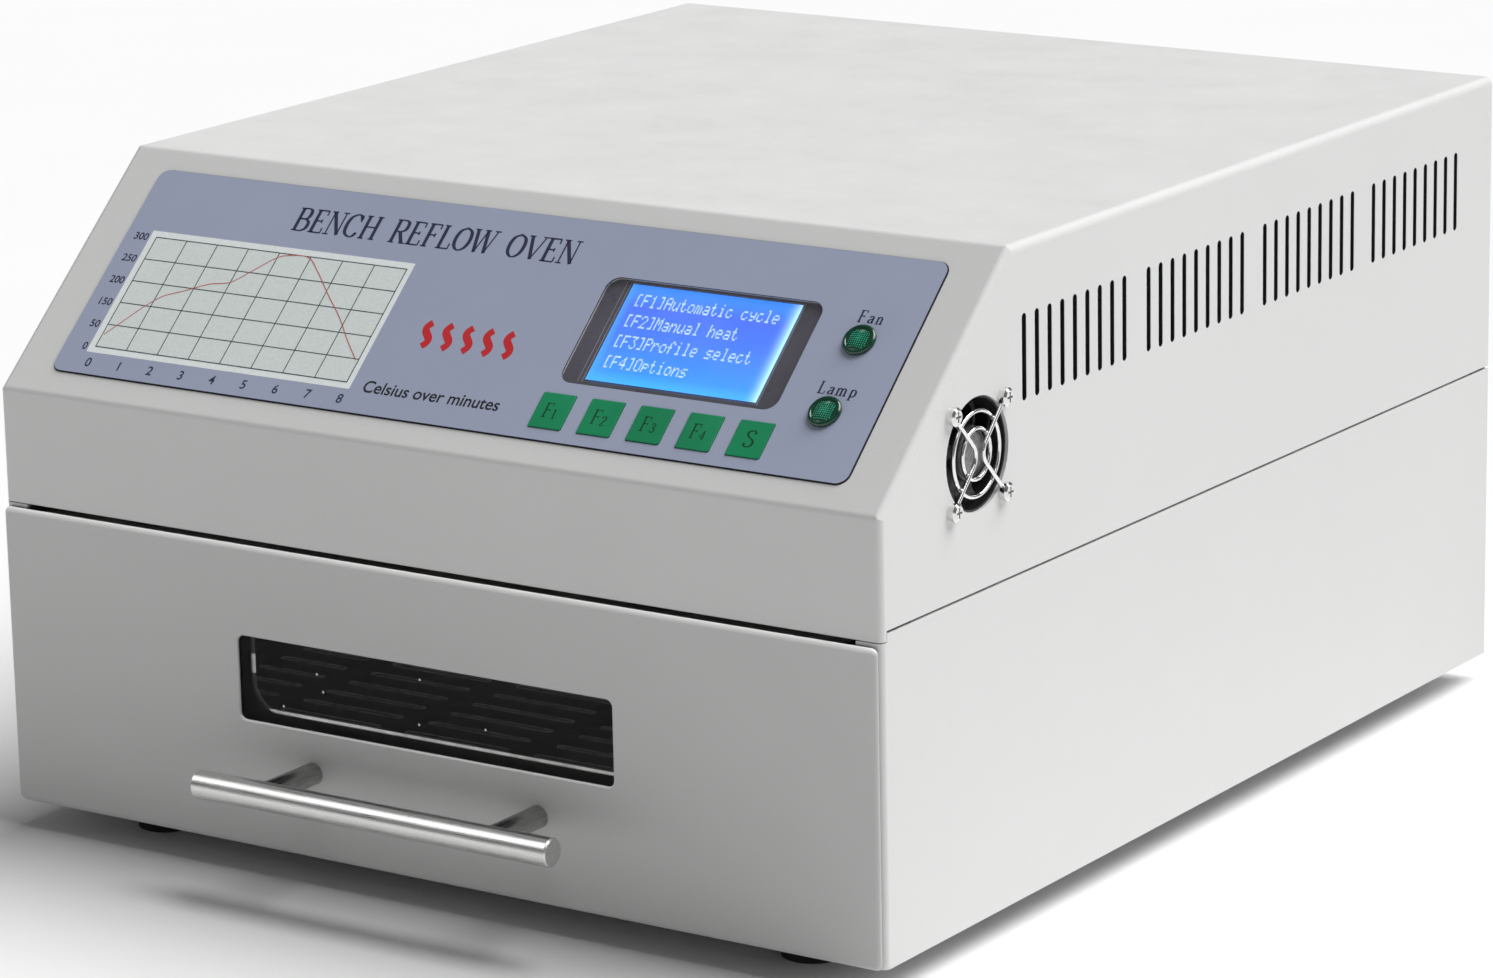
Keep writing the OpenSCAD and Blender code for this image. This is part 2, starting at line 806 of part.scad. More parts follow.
module lamp_end_caps() {
    color("white") at_case() both_sides() for (y = tube_rows)
        translate([tube_half - 7, y, tube_z]) rotate([0, 90, 0]) difference() {
            cylinder(r = cap_r, h = 26);
            rod(tube_r + 0.1, -cut, 7.2);
        }
}

module thermocouples() {
    color("silver") at_case() for (p = probe_spots) translate([p.x, p.y, 0]) {
        rod(probe_r, 70, hood_top + 1);
        rod(3, hood_top, hood_top + 6);
    }
}

// ---------- drawer slides ----------

// Channel section of one slide member: a web and two flanges, run along the slide
module slide_channel(web0, web1, far, half_h, y0, y1) {
    lo = slide_x - max(web1, far);
    hi = slide_x - min(web0, far);
    flange_t = 1.2;
    at_case() both_sides() {
        block([slide_x - web1, y0, slide_z - half_h], [slide_x - web0, y1, slide_z + half_h]);
        for (s = sides) translate([0, 0, slide_z + s * (half_h - flange_t / 2)])
            block([lo, y0, -flange_t / 2], [hi, y1, flange_t / 2]);
    }
}

module slide_outer() {
    color("silver") slide_channel(0, 1.2, 9, 17.5, slide_y, slide_y + slide_len);
}

module slide_middle() {
    color("silver") slide_channel(2.2, 3.4, 10.4, 14.5, slide_y, slide_y + slide_len);
}

module slide_inner() {
    color("silver") slide_channel(11.8, 13, 5, 11, slide_y - 2, slide_y + slide_len - 4);
}

module slide_brackets() {
    color("gray") at_case() both_sides() {
        block([slide_x, slide_y - 2, sheet_t], [slide_x + sheet_t, slide_y + slide_len + 2, 50]);
        block([slide_x, slide_y - 2, sheet_t], [inner_x - 1, slide_y + slide_len + 2, 2 * sheet_t]);
    }
}

// ---------- drawer ----------

front_back = -1.1;
front_face = front_back - front_t;
panel_depth = 20;
glass_t = 3;
glass_w = window_w + 16;
glass_h = window_h + 11;
inner_open = [182, 39.6];

module front_plane(y, z) {
    translate([0, y, z]) rotate([90, 0, 0]) children();
}

module drawer_front() {
    edge = 0.5;
    color("darkgray") at_case() difference() {
        front_plane(front_back, front_h / 2) slab(case_w - 1.6, front_h, edge, 0, front_t);
        front_plane(0, window_z) slab(window_w, window_h, 2.5, -cut, cut);
        for (s = sides) front_plane(0, bar_z) translate([s * post_pitch / 2, 0, 0])
            rod(m4_r + hole_play, -cut, cut);
    }
}

module window_glass() {
    color([0.1, 0.1, 0.12, 0.5]) at_case() front_plane(front_back, window_z)
        slab(glass_w, glass_h, 1, -glass_t, 0);
}

module window_frame() {
    color("black") at_case() difference() {
        front_plane(front_back, window_z) slab(glass_w + 12, glass_h + 8, 3, -glass_t - 1.5, 0);
        front_plane(front_back, window_z) slab(glass_w + gap, glass_h + gap, 1, -glass_t - gap / 2, cut);
        front_plane(0, window_z) slab(glass_w - 6, glass_h - 6, 3, -2 * cut, cut);
    }
}

module inner_panel() {
    color("silver") at_case() difference() {
        block([-170, front_back, 12], [170, panel_depth, 108]);
        block([-168.8, front_back - cut, 13.2], [168.8, panel_depth - sheet_t, 106.8]);
        front_plane(0, window_z + 0.8) slab(inner_open.x, inner_open.y, 11, -3 * cut - panel_depth, cut);
    }
}

module drawer_pan() {
    t = sheet_t;
    back = 352;
    color("silver") at_case() difference() {
        block([-pan_x, panel_depth, 14], [pan_x, back, 62]);
        block([-pan_x + t, panel_depth + t, 14 + t], [pan_x - t, back - t, 70]);
        block([-pan_x - cut, panel_depth - cut, 40], [pan_x + cut, panel_depth + t, 70]);
    }
}

module tray_slots() {
    rib = 11.9;
    for (s = sides, k = [0:1], row = [0:23])
        translate([s * (rib / 2 + slot_len / 2 + k * (slot_len + rib)), 40.9 + 13.2 * row])
            slot(slot_len, 3);
    for (s = sides, row = [0:23])
        translate([s * (2.5 * rib + 2 * slot_len + 15), 40.9 + 13.2 * row]) slot(30, 3);
}

module tray_floor() {
    color("darkgray") at_case() {
        translate([0, 0, tray_z - 1]) linear_extrude(1) difference() {
            translate([-157, 24]) square([314, 325]);
            tray_slots();
        }
        for (s = sides) translate([s * 156.4, 0, 0]) block([-0.6, 24, 15.4], [0.6, 349, tray_z - 0.5]);
    }
}

module door_seal() {
    color("ivory") at_case() difference() {
        block([-168.6, panel_depth, 58], [168.6, panel_depth + 3.3, 105.6]);
        block([-164.6, panel_depth - cut, 50], [164.6, panel_depth + cut, 101.6]);
    }
}

module handle_bar() {
    chamfer = 0.6;
    color("silver") at_case() translate([0, -bar_reach, bar_z]) difference() {
        rotate([0, 90, 0]) {
            cylinder(r = bar_d / 2, h = bar_len - 2 * chamfer, center = true);
            for (s = sides) translate([0, 0, s * (bar_len / 2 - chamfer)]) mirror([0, 0, s < 0 ? 1 : 0])
                cylinder(r1 = bar_d / 2, r2 = bar_d / 2 - chamfer, h = chamfer);
        }
        for (s = sides) translate([s * post_pitch / 2, 0, 0]) rotate([-90, 0, 0])
            rod(4 + 0.03, -1, bar_d);
    }
}

module handle_posts() {
    color("silver") at_case() for (s = sides)
        translate([s * post_pitch / 2, front_face, bar_z]) rotate([90, 0, 0]) difference() {
            rod(4, 0, bar_reach + front_face + 0.9);
            rod(m4_r + 0.05, -cut, 12);
        }
}

module handle_screws() {
    color("silver") at_case() for (s = sides)
        translate([s * post_pitch / 2, front_back, bar_z]) rotate([-90, 0, 0])
            pan_screw(m4_r, head4_r, 2.4, front_t + 10);
}

// ---------- assembly ----------

base_tray();
top_cover();
rear_panel();
deck_plate();
feet();
foot_screws();
case_screws();
control_overlay();
lcd_window();
lcd_bezel();
lcd_display();
control_board();
key_switches();
board_standoffs();
indicator_lenses();
power_board();
board_parts();
heat_sink();
transformer_core();
transformer_coil();
side_fan_frame();
side_fan_guard();
fan_screws();
fan_nuts();
exhaust_fan_frame();
exhaust_fan_guard();
power_inlet();
inlet_pins();
switch_frame();
chamber_hood();
hood_insulation();
hood_spacers();
floor_insulation();
heater_tubes();
heater_filaments();
lamp_end_caps();
thermocouples();
slide_brackets();
slide_outer();
drawer_front();
window_glass();
window_frame();
inner_panel();
drawer_pan();
tray_floor();
door_seal();
slide_inner();
handle_bar();
handle_posts();
handle_screws();
slide_middle();
key_f1();
key_f2();
key_f3();
key_f4();
key_s();
power_rocker();
side_fan_rotor();
exhaust_fan_rotor();
fuse_drawer();
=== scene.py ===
"""Looks of the bench-top infrared reflow oven: materials, print, display, wires, lights and camera.

Lengths are in metres, in the CAD frame: +Z up, the drawer front faces -Y.
"""
import math
import bmesh
import bpy
from mathutils import Matrix, Vector


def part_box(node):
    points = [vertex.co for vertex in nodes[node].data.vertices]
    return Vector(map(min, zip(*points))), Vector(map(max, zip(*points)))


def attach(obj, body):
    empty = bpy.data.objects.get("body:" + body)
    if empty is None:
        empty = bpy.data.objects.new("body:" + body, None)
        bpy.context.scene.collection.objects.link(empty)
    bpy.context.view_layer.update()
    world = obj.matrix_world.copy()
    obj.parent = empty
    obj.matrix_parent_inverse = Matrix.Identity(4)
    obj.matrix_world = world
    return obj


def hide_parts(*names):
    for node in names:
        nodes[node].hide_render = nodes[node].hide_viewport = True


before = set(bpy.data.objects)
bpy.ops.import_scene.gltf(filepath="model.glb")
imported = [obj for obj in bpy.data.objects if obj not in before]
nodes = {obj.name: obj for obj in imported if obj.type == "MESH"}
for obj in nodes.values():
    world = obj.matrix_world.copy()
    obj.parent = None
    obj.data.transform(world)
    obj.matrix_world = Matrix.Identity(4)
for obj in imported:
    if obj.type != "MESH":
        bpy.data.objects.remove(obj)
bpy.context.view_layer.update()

MM = 0.001
PRINT_T = 0.03  # thickness of a printed layer, in mm
LCD_LOW = (50.3, 37.3)  # corners of the lit display on the slope, in mm
LCD_HIGH = (118.9, 77.2)
OVERLAY_TOP = 0.6  # height of the overlay's face over the slope, in mm
CASE = "case"
DRAWER = "drawer"


# ---------- measures taken from the frame ----------

def low(node):
    return Vector(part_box(node)[0])


def high(node):
    return Vector(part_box(node)[1])


def middle(node):
    return (low(node) + high(node)) / 2


FRONT_Y = low("base_tray").y
CASE_FLOOR = low("base_tray").z
CASE_TOP = high("top_cover").z
CASE_RIGHT = high("top_cover").x
SLOPE_Z = CASE_FLOOR + 152 * MM
SLOPE_ANGLE = math.atan2(CASE_TOP - SLOPE_Z, 80.7 * MM)
REAR_FACE = high("rear_panel").y

# Slope coordinates: x across, y up the slope from its lower fold, z outwards
SLOPE = Matrix.Translation((0, FRONT_Y, SLOPE_Z)) @ Matrix.Rotation(SLOPE_ANGLE, 4, "X")
# The places below turn millimetres into metres. Slope: as above. Case: from the middle of the case
# front at its underside. Side fan: x back, y up, z outwards. Exhaust: x left, y up, z outwards
IN_MM = Matrix.Scale(MM, 4)
ON_SLOPE = SLOPE @ IN_MM
AT_CASE = Matrix.Translation((0, FRONT_Y, CASE_FLOOR)) @ IN_MM
SIDE_FAN = Matrix.Translation((CASE_RIGHT, *middle("side_fan_frame").yz)) @ Matrix(
    ((0, 0, 1, 0), (1, 0, 0, 0), (0, 1, 0, 0), (0, 0, 0, 1))
) @ IN_MM
EXHAUST = Matrix.Translation((0, REAR_FACE, middle("exhaust_fan_frame").z)) @ Matrix(
    ((-1, 0, 0, 0), (0, 0, 1, 0), (0, 1, 0, 0), (0, 0, 0, 1))
) @ IN_MM


# ---------- material building ----------

class Paint:
    """A material under construction. Its coordinates are metres in the CAD frame."""

    def __init__(self, name):
        self.material = bpy.data.materials.new(name)
        self.material.use_nodes = True
        self.tree = self.material.node_tree
        self.shader = self.tree.nodes["Principled BSDF"]
        self.coords = self.node("TexCoord").outputs["Object"]

    def node(self, kind, inputs=None, **settings):
        """A new node. Each input is given a value, or another node's output to link to it."""
        made = self.tree.nodes.new("ShaderNode" + kind)
        for key, value in settings.items():
            setattr(made, key, value)
        for key, value in (inputs or {}).items():
            if isinstance(value, bpy.types.NodeSocket):
                self.link(value, made.inputs[key])
            else:
                made.inputs[key].default_value = value
        return made

    def link(self, source, target):
        self.tree.links.new(source, target)

    def set(self, **values):
        for key, value in values.items():
            self.shader.inputs[SOCKETS[key]].default_value = value
        return self

    def mapped(self, scale, angle=(0, 0, 0)):
        inputs = {"Vector": self.coords, "Scale": scale, "Rotation": angle}
        return self.node("Mapping", inputs).outputs["Vector"]

    def noise(self, scale, detail=3.0, rough=0.5, vector=None):
        vector = vector or self.coords
        inputs = {"Vector": vector, "Scale": scale, "Detail": detail, "Roughness": rough}
        return self.node("TexNoise", inputs).outputs["Fac"]

    def cells(self, scale, feature="F1"):
        return self.node("TexVoronoi", {"Vector": self.coords, "Scale": scale}, feature=feature)

    def wave(self, scale):
        inputs = {"Vector": self.coords, "Scale": scale, "Distortion": 0.0}
        return self.node("TexWave", inputs, bands_direction="X").outputs["Fac"]

    def ramp(self, fac, *stops):
        ramp = self.node("ValToRGB", {"Fac": fac})
        elements = ramp.color_ramp.elements
        while len(elements) < len(stops):
            elements.new(0.5)
        for element, (place, value) in zip(elements, stops):
            element.position = place
            element.color = (*value, 1)
        return ramp.outputs["Color"]

    def spread(self, fac, start, end, first=0.0, last=1.0):
        inputs = {"Value": fac, "From Min": start, "From Max": end, "To Min": first, "To Max": last}
        return self.node("MapRange", inputs).outputs["Result"]

    def math(self, operation, first, second):
        return self.node("Math", {0: first, 1: second}, operation=operation).outputs["Value"]

    def axis(self, name, vector=None):
        return self.node("SeparateXYZ", {"Vector": vector or self.coords}).outputs[name]

    def between(self, name, start, end):
        """Mask that is 1 where a coordinate lies between start and end, in metres."""
        over = self.math("GREATER_THAN", self.axis(name), start)
        under = self.math("LESS_THAN", self.axis(name), end)
        return self.math("MULTIPLY", over, under)

    def on_slope(self, name):
        """One of the slope coordinates, in metres."""
        turn = (SLOPE_ANGLE, 0, 0)
        inputs = {"Vector": self.coords, "Location": SLOPE.translation, "Rotation": turn}
        to_slope = self.node("Mapping", inputs, vector_type="TEXTURE")
        return self.axis(name, to_slope.outputs["Vector"])

    def mix(self, fac, first, second):
        """Mix of two colours; inputs 6 and 7 and output 2 are the Mix node's colour sockets."""
        first, second = ((*v, 1) if isinstance(v, tuple) else v for v in (first, second))
        return self.node("Mix", {"Factor": fac, 6: first, 7: second}, data_type="RGBA").outputs[2]

    def colour(self, source):
        self.link(source, self.shader.inputs["Base Color"])
        return self

    def lit(self, source):
        """One source for both the colour and the glow."""
        self.link(source, self.shader.inputs["Emission Color"])
        return self.colour(source)

    def tint(self, fac, first, second, start=0.35, end=0.65):
        return self.colour(self.ramp(fac, (start, first), (end, second)))

    def gloss(self, fac, first, last, start=0.3, end=0.7):
        self.link(self.spread(fac, start, end, first, last), self.shader.inputs["Roughness"])
        return self

    def bump(self, height, strength, depth):
        bump = self.node("Bump", {"Strength": strength, "Distance": depth, "Height": height})
        normal = self.shader.inputs["Normal"]
        if normal.is_linked:
            self.link(normal.links[0].from_socket, bump.inputs["Normal"])
        self.link(bump.outputs["Normal"], normal)
        return self


SOCKETS = {
    "metallic": "Metallic", "rough": "Roughness", "alpha": "Alpha", "ior": "IOR",
    "specular": "Specular IOR Level", "coat": "Coat Weight", "coat_rough": "Coat Roughness",
    "glow": "Emission Strength",
}


def shade(value, factor):
    return tuple(channel * factor for channel in value)


def srgb(red, green, blue):
    """Linear colour of an sRGB triple given from 0 to 255."""
    return tuple(
        c / 12.92 if c <= 0.04045 else ((c + 0.055) / 1.055) ** 2.4
        for c in (red / 255, green / 255, blue / 255)
    )


SLOTS_FROM, SLOTS_TO = 86, 403  # room that holds the side slots, in mm behind the case front
SLOTS_LOW, SLOTS_HIGH = 170, 204  # and in mm over the case floor


def vent_walls(paint):
    """Mask of the walls inside the side slots, just under the outer face, which are painted
    near-black as shade.
    """
    across = paint.math("ABSOLUTE", paint.axis("X"), 0.0)
    under = paint.math("LESS_THAN", across, CASE_RIGHT - 0.12 * MM)
    row = paint.between("Y", FRONT_Y + SLOTS_FROM * MM, FRONT_Y + SLOTS_TO * MM)
    height = paint.between("Z", CASE_FLOOR + SLOTS_LOW * MM, CASE_FLOOR + SLOTS_HIGH * MM)
    return paint.math("MULTIPLY", paint.math("MULTIPLY", under, row), height)


def powder_coat(name, value, peel=0.30, shaded_vents=False):
    """Fine orange-peel powder coat with faint clouding and handling marks."""
    paint = Paint(name)
    cloud = paint.noise(6, 3, 0.5)
    flecks = paint.spread(paint.noise(1600, 1), 0.66, 0.74, 0, 0.25)
    body = paint.ramp(cloud, (0.35, shade(value, 0.99)), (0.65, shade(value, 1.005)))
    body = paint.mix(flecks, body, shade(value, 0.86))
    if shaded_vents:
        # Painted shade: the walls inside the side slots are near-black
        body = paint.mix(vent_walls(paint), body, (0.02, 0.02, 0.02))
    paint.colour(body)
    paint.gloss(paint.noise(35, 6, 0.65), 0.40, 0.56)
    paint.set(specular=0.45)
    paint.bump(paint.noise(950, 2), peel, 0.00010)
    paint.bump(paint.noise(210, 2), peel * 0.5, 0.00020)
    return paint.material


def metal(name, value, rough=0.3, stretch=(1, 1, 1), grain=600, spread=0.12, strength=0.15):
    """Metal whose grain is stretched along an axis by a small scale factor."""
    paint = Paint(name).set(metallic=1.0)
    lines = paint.noise(grain, 4, 0.7, paint.mapped(stretch))
    paint.tint(lines, shade(value, 0.86), shade(value, 1.05))
    paint.gloss(lines, rough - spread / 2, rough + spread)
    return paint.bump(lines, strength, 0.00005).material


def plastic(name, value, rough=0.45, grain=1500, strength=0.12, edge=0.0):
    """Moulded plastic with a fine spark-eroded grain; edge is the look of rounding, in mm."""
    paint = Paint(name)
    if edge:
        rounding = paint.node("Bevel", {"Radius": edge * MM}, samples=6)
        paint.link(rounding.outputs["Normal"], paint.shader.inputs["Normal"])
    paint.tint(paint.noise(30), shade(value, 0.90), shade(value, 1.08))
    paint.gloss(paint.noise(60, 4), rough - 0.06, rough + 0.08)
    return paint.bump(paint.noise(grain, 2), strength, 0.00008).material


def zinc(name, value, rough=0.34):
    """Rolled zinc-coated sheet: soft crystal patches over a rolling grain."""
    paint = Paint(name).set(metallic=1.0)
    patch = paint.cells(90).outputs["Color"]
    grain = paint.noise(500, 4, 0.7, paint.mapped((1, 0.06, 1)))
    body = paint.ramp(patch, (0.2, shade(value, 0.84)), (0.8, value))
    paint.colour(paint.mix(paint.spread(grain, 0.3, 0.7, 0, 0.5), body, shade(value, 0.72)))
    paint.gloss(grain, rough - 0.06, rough + 0.14)
    return paint.bump(grain, 0.12, 0.00005).material


def ink(name, value, rough=0.5):
    """Screen-printed ink: slightly uneven cover and gloss."""
    paint = Paint(name)
    paint.tint(paint.noise(900, 2), shade(value, 0.96), shade(value, 1.03))
    return paint.gloss(paint.noise(240, 3), rough - 0.1, rough + 0.1).material


def tinted_glass(name, value, alpha, rough=0.06):
    """Toughened dark glass with smears and a few dust specks on it."""
    paint = Paint(name).set(specular=0.16)
    speck_share, speck_size = 0.32, 0.032
    on_face = paint.mapped((1, 1, 1), (math.pi / 2, 0, 0))
    cells = paint.node("TexVoronoi", {"Vector": on_face, "Scale": 70}, voronoi_dimensions="2D")
    picked = paint.node("SeparateColor", {"Color": cells.outputs["Color"]})
    chosen = paint.math("GREATER_THAN", picked.outputs["Red"], 1 - speck_share)
    near = paint.math("LESS_THAN", cells.outputs["Distance"], speck_size)
    outer_face = paint.math("LESS_THAN", paint.axis("Y"), middle("window_glass").y)
    speck = paint.math("MULTIPLY", paint.math("MULTIPLY", chosen, near), outer_face)
    smear = paint.noise(26, 6, 0.7, paint.mapped((0.5, 1, 1.6)))
    body = paint.ramp(smear, (0.3, value), (0.75, shade(value, 1.7)))
    paint.colour(paint.mix(speck, body, (0.85, 0.85, 0.82)))
    paint.gloss(smear, rough, rough + 0.10)
    haze = paint.spread(smear, 0.35, 0.8, alpha, min(alpha + 0.10, 1))
    paint.link(paint.math("MAXIMUM", haze, speck), paint.shader.inputs["Alpha"])
    return paint.material


def overlay_print(name, value):
    """Satin polycarbonate overlay with a fine matte texture; its edge walls carry painted shade."""
    paint = Paint(name).set(specular=0.4)
    body = paint.ramp(paint.noise(14, 4), (0.35, shade(value, 0.975)), (0.65, shade(value, 1.02)))
    edge_wall_shade = paint.math("LESS_THAN", paint.on_slope("Z"), (OVERLAY_TOP - 0.06) * MM)
    # Painted shade: the overlay's edge walls, below its face, are near-black
    paint.colour(paint.mix(edge_wall_shade, body, (0.03, 0.03, 0.04)))
    paint.gloss(paint.noise(80, 4), 0.36, 0.46)
    return paint.bump(paint.noise(2600, 2), 0.22, 0.00004).material


def back_light(name):
    """Blue back-lit display: cyan along its lower edge, nearly white along its right edge."""
    paint = Paint(name).set(rough=0.35, glow=0.95)
    across, up = paint.on_slope("X"), paint.on_slope("Y")
    cloud = paint.noise(60, 2)
    body = paint.ramp(
        paint.spread(up, LCD_LOW[1] * MM, LCD_HIGH[1] * MM),
        (0.0, srgb(52, 172, 255)), (0.12, srgb(38, 138, 255)), (0.5, srgb(52, 108, 250)),
        (0.78, srgb(62, 102, 244)), (1.0, srgb(48, 142, 255)),
    )
    body = paint.mix(paint.spread(cloud, 0.3, 0.7, 0, 0.12), body, srgb(90, 150, 255))
    right = paint.spread(across, (LCD_HIGH[0] - 7) * MM, (LCD_HIGH[0] - 0.5) * MM)
    body = paint.mix(paint.math("POWER", right, 3.0), body, srgb(176, 232, 255))
    left = paint.spread(across, (LCD_LOW[0] + 3) * MM, LCD_LOW[0] * MM)
    body = paint.mix(paint.math("MULTIPLY", left, 0.6), body, srgb(60, 170, 255))
    columns = paint.wave(590)
    body = paint.mix(paint.spread(columns, 0.85, 1.0, 0, 0.10), body, srgb(20, 60, 170))
    return paint.lit(body).material


def glow_text(name):
    paint = Paint(name).set(rough=0.5, glow=0.8)
    white = paint.ramp(paint.noise(900, 1), (0.3, srgb(150, 192, 255)), (0.7, srgb(196, 222, 255)))
    return paint.lit(white).material


def clear_pane(name):
    """Clear display window, faintly smeared."""
    paint = Paint(name).set(specular=0.5, alpha=0.10)
    paint.tint(paint.noise(60), (0.30, 0.31, 0.34), (0.36, 0.37, 0.40))
    return paint.gloss(paint.noise(120, 4), 0.05, 0.14).material


def lens_green(name, value, glow):
    """Moulded green lens with a clear coat; the lamp under it is off, so any glow is painted light.
    """
    paint = Paint(name).set(specular=0.45, coat=0.6, coat_rough=0.03, glow=glow)
    body = paint.ramp(paint.noise(700, 2), (0.3, shade(value, 0.75)), (0.7, shade(value, 1.3)))
    return paint.lit(body).gloss(paint.noise(300, 2), 0.12, 0.22).material


def fibre_board(name, value):
    """Woven or felted insulation with fibres and small pits."""
    paint = Paint(name)
    paint.tint(paint.noise(160, 6, 0.8), shade(value, 0.8), value)
    paint.gloss(paint.noise(90, 3), 0.85, 0.98)
    paint.bump(paint.noise(420, 6, 0.8), 0.7, 0.0004)
    return paint.material


def circuit(name, value):
    """Solder mask with copper tracks showing as slightly lighter lines."""
    paint = Paint(name).set(specular=0.5, coat=0.3, coat_rough=0.2)
    edges = paint.cells(240, "DISTANCE_TO_EDGE").outputs["Distance"]
    track = paint.spread(edges, 0.03, 0.06, 1, 0)
    paint.colour(paint.mix(track, value, shade(value, 1.9)))
    paint.gloss(paint.noise(50), 0.25, 0.4)
    return paint.bump(track, 0.3, 0.00005).material


def rubber(name, value):
    paint = Paint(name).set(specular=0.25)
    paint.tint(paint.noise(70, 5), shade(value, 0.8), shade(value, 1.5))
    paint.gloss(paint.noise(60, 4), 0.7, 0.9)
    return paint.bump(paint.noise(1500, 3), 0.35, 0.0001).material


def quartz(name):
    """Clear quartz tube, slightly fogged by use."""
    paint = Paint(name).set(ior=1.46, coat=0.3)
    fog = paint.noise(60, 4, 0.6, paint.mapped((0.15, 1, 1)))
    paint.tint(fog, (0.75, 0.77, 0.8), (0.9, 0.9, 0.9))
    paint.gloss(fog, 0.05, 0.2)
    paint.link(paint.spread(fog, 0.3, 0.7, 0.22, 0.36), paint.shader.inputs["Alpha"])
    return paint.material


def soot_steel(name, value):
    """Liner or tray steel with heat tints and flux residue."""
    paint = Paint(name).set(metallic=0.9)
    stain = paint.noise(16, 7, 0.6)
    heat_tint = shade((1.04, 0.97, 0.86), value[0])
    body = paint.ramp(
        stain, (0.25, shade(value, 0.70)), (0.48, value), (0.62, heat_tint),
        (0.8, shade(value, 1.08)),
    )
    paint.colour(body).gloss(paint.noise(120, 5, 0.7), 0.28, 0.55)
    return paint.bump(paint.noise(700, 3, 0.6, paint.mapped((0.08, 1, 1))), 0.15, 0.00006).material


def worn_edge(name, value, glow, glint_heights=()):
    """Bare edge with worn patches; its glow is a painted highlight for the light it catches inside
    the dark chamber.

    When heights are given, the painted highlight lies between each pair of them, in mm over the
    case floor; elsewhere the edge is nearly black.
    """
    paint = Paint(name).set(metallic=0.3, glow=glow)
    patches = paint.noise(70, 4, 0.7)
    wear_and_glint = paint.ramp(patches, (0.35, (value * 0.6,) * 3), (0.6, (value,) * 3))
    if glint_heights:
        caught = 0.0
        for bottom, top in glint_heights:
            band = paint.between("Z", CASE_FLOOR + bottom * MM, CASE_FLOOR + top * MM)
            caught = paint.math("ADD", caught, band)
        wear_and_glint = paint.mix(caught, (value * 0.05,) * 3, wear_and_glint)
    return paint.lit(wear_and_glint).gloss(paint.noise(300, 3), 0.2, 0.4).material


def hub_film(name):
    """Fan hub label: dull silvery film."""
    paint = Paint(name).set(metallic=0.6)
    paint.tint(paint.noise(900, 2), (0.22, 0.22, 0.23), (0.34, 0.34, 0.35))
    paint.gloss(paint.noise(200, 3), 0.3, 0.5)
    return paint.bump(paint.noise(1200, 2), 0.1, 0.00003).material


# ---------- shapes ----------

def build(name, shape, material, body, place, smooth=False, stands_for=()):
    """A piece from a Shape, put in place, given its finish and set to ride."""
    mesh = bpy.data.meshes.new(name)
    mesh.from_pydata([tuple(v) for v in shape.verts], [], shape.faces)
    return dress(name, mesh, material, body, place, smooth, stands_for)


def dress(name, mesh, material, body, place, smooth=False, stands_for=()):
    mesh.transform(place)
    work = bmesh.new()
    work.from_mesh(mesh)
    bmesh.ops.remove_doubles(work, verts=work.verts, dist=1e-7)
    bmesh.ops.recalc_face_normals(work, faces=work.faces)
    work.to_mesh(mesh)
    work.free()
    mesh.materials.clear()
    mesh.materials.append(material)
    if smooth:
        mesh.shade_smooth()
    piece = bpy.data.objects.new(name, mesh)
    bpy.context.scene.collection.objects.link(piece)
    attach(piece, body)
    if stands_for:
        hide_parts(*stands_for)
    return piece


class Shape:
    """Vertices and faces gathered from several simple closed forms."""

    def __init__(self):
        self.verts = []
        self.faces = []

    def add(self, verts, faces):
        start = len(self.verts)
        self.verts += [Vector(v) for v in verts]
        self.faces += [[start + i for i in face] for face in faces]
        return self

    def prism(self, outline, z0, z1):
        """Outline runs anticlockwise in x, y."""
        n = len(outline)
        ring = [(x, y, z) for z in (z0, z1) for x, y in outline]
        walls = [[i, (i + 1) % n, n + (i + 1) % n, n + i] for i in range(n)]
        return self.add(ring, walls + [list(range(n))[::-1], list(range(n, 2 * n))])

    def box(self, x0, x1, y0, y1, z0, z1):
        return self.prism([(x0, y0), (x1, y0), (x1, y1), (x0, y1)], z0, z1)

    def lathe(self, profile, steps, centre=(0, 0)):
        """A turned form about z: the profile's first and last points lie on the axis."""
        rows, verts = [], []
        for radius, z in profile:
            if radius < 1e-9:
                rows.append([len(verts)])
                verts.append((centre[0], centre[1], z))
                continue
            rows.append(list(range(len(verts), len(verts) + steps)))
            for k in range(steps):
                angle = math.tau * k / steps
                x = centre[0] + radius * math.cos(angle)
                y = centre[1] + radius * math.sin(angle)
                verts.append((x, y, z))
        faces = []
        for lower, upper in zip(rows, rows[1:]):
            for k in range(steps):
                j = (k + 1) % steps
                if len(lower) == 1:
                    faces.append([lower[0], upper[j], upper[k]])
                elif len(upper) == 1:
                    faces.append([lower[k], lower[j], upper[0]])
                else:
                    faces.append([lower[k], lower[j], upper[j], upper[k]])
        return self.add(verts, faces)

    def tube(self, path, radius, sides=8, closed=False):
        """A round wire along a path of points."""
        path = [Vector(p) for p in path]
        n = len(path)
        normal = None
        verts = []
        for i, point in enumerate(path):
            before = path[(i - 1) % n] if closed or i else point
            after = path[(i + 1) % n] if closed or i < n - 1 else point
            along = (after - before).normalized()
            if normal is None:
                normal = along.orthogonal().normalized()
            normal = (normal - along * normal.dot(along)).normalized()
            side = along.cross(normal)
            for k in range(sides):
                angle = math.tau * k / sides
                verts.append(point + radius * (math.cos(angle) * normal + math.sin(angle) * side))
        rings = [[i * sides + k for k in range(sides)] for i in range(n)]
        pairs = list(zip(rings, rings[1:])) + ([(rings[-1], rings[0])] if closed else [])
        faces = [
            [a[k], a[(k + 1) % sides], b[(k + 1) % sides], b[k]]
            for a, b in pairs for k in range(sides)
        ]
        if not closed:
            faces += [rings[0][::-1], rings[-1]]
        return self.add(verts, faces)


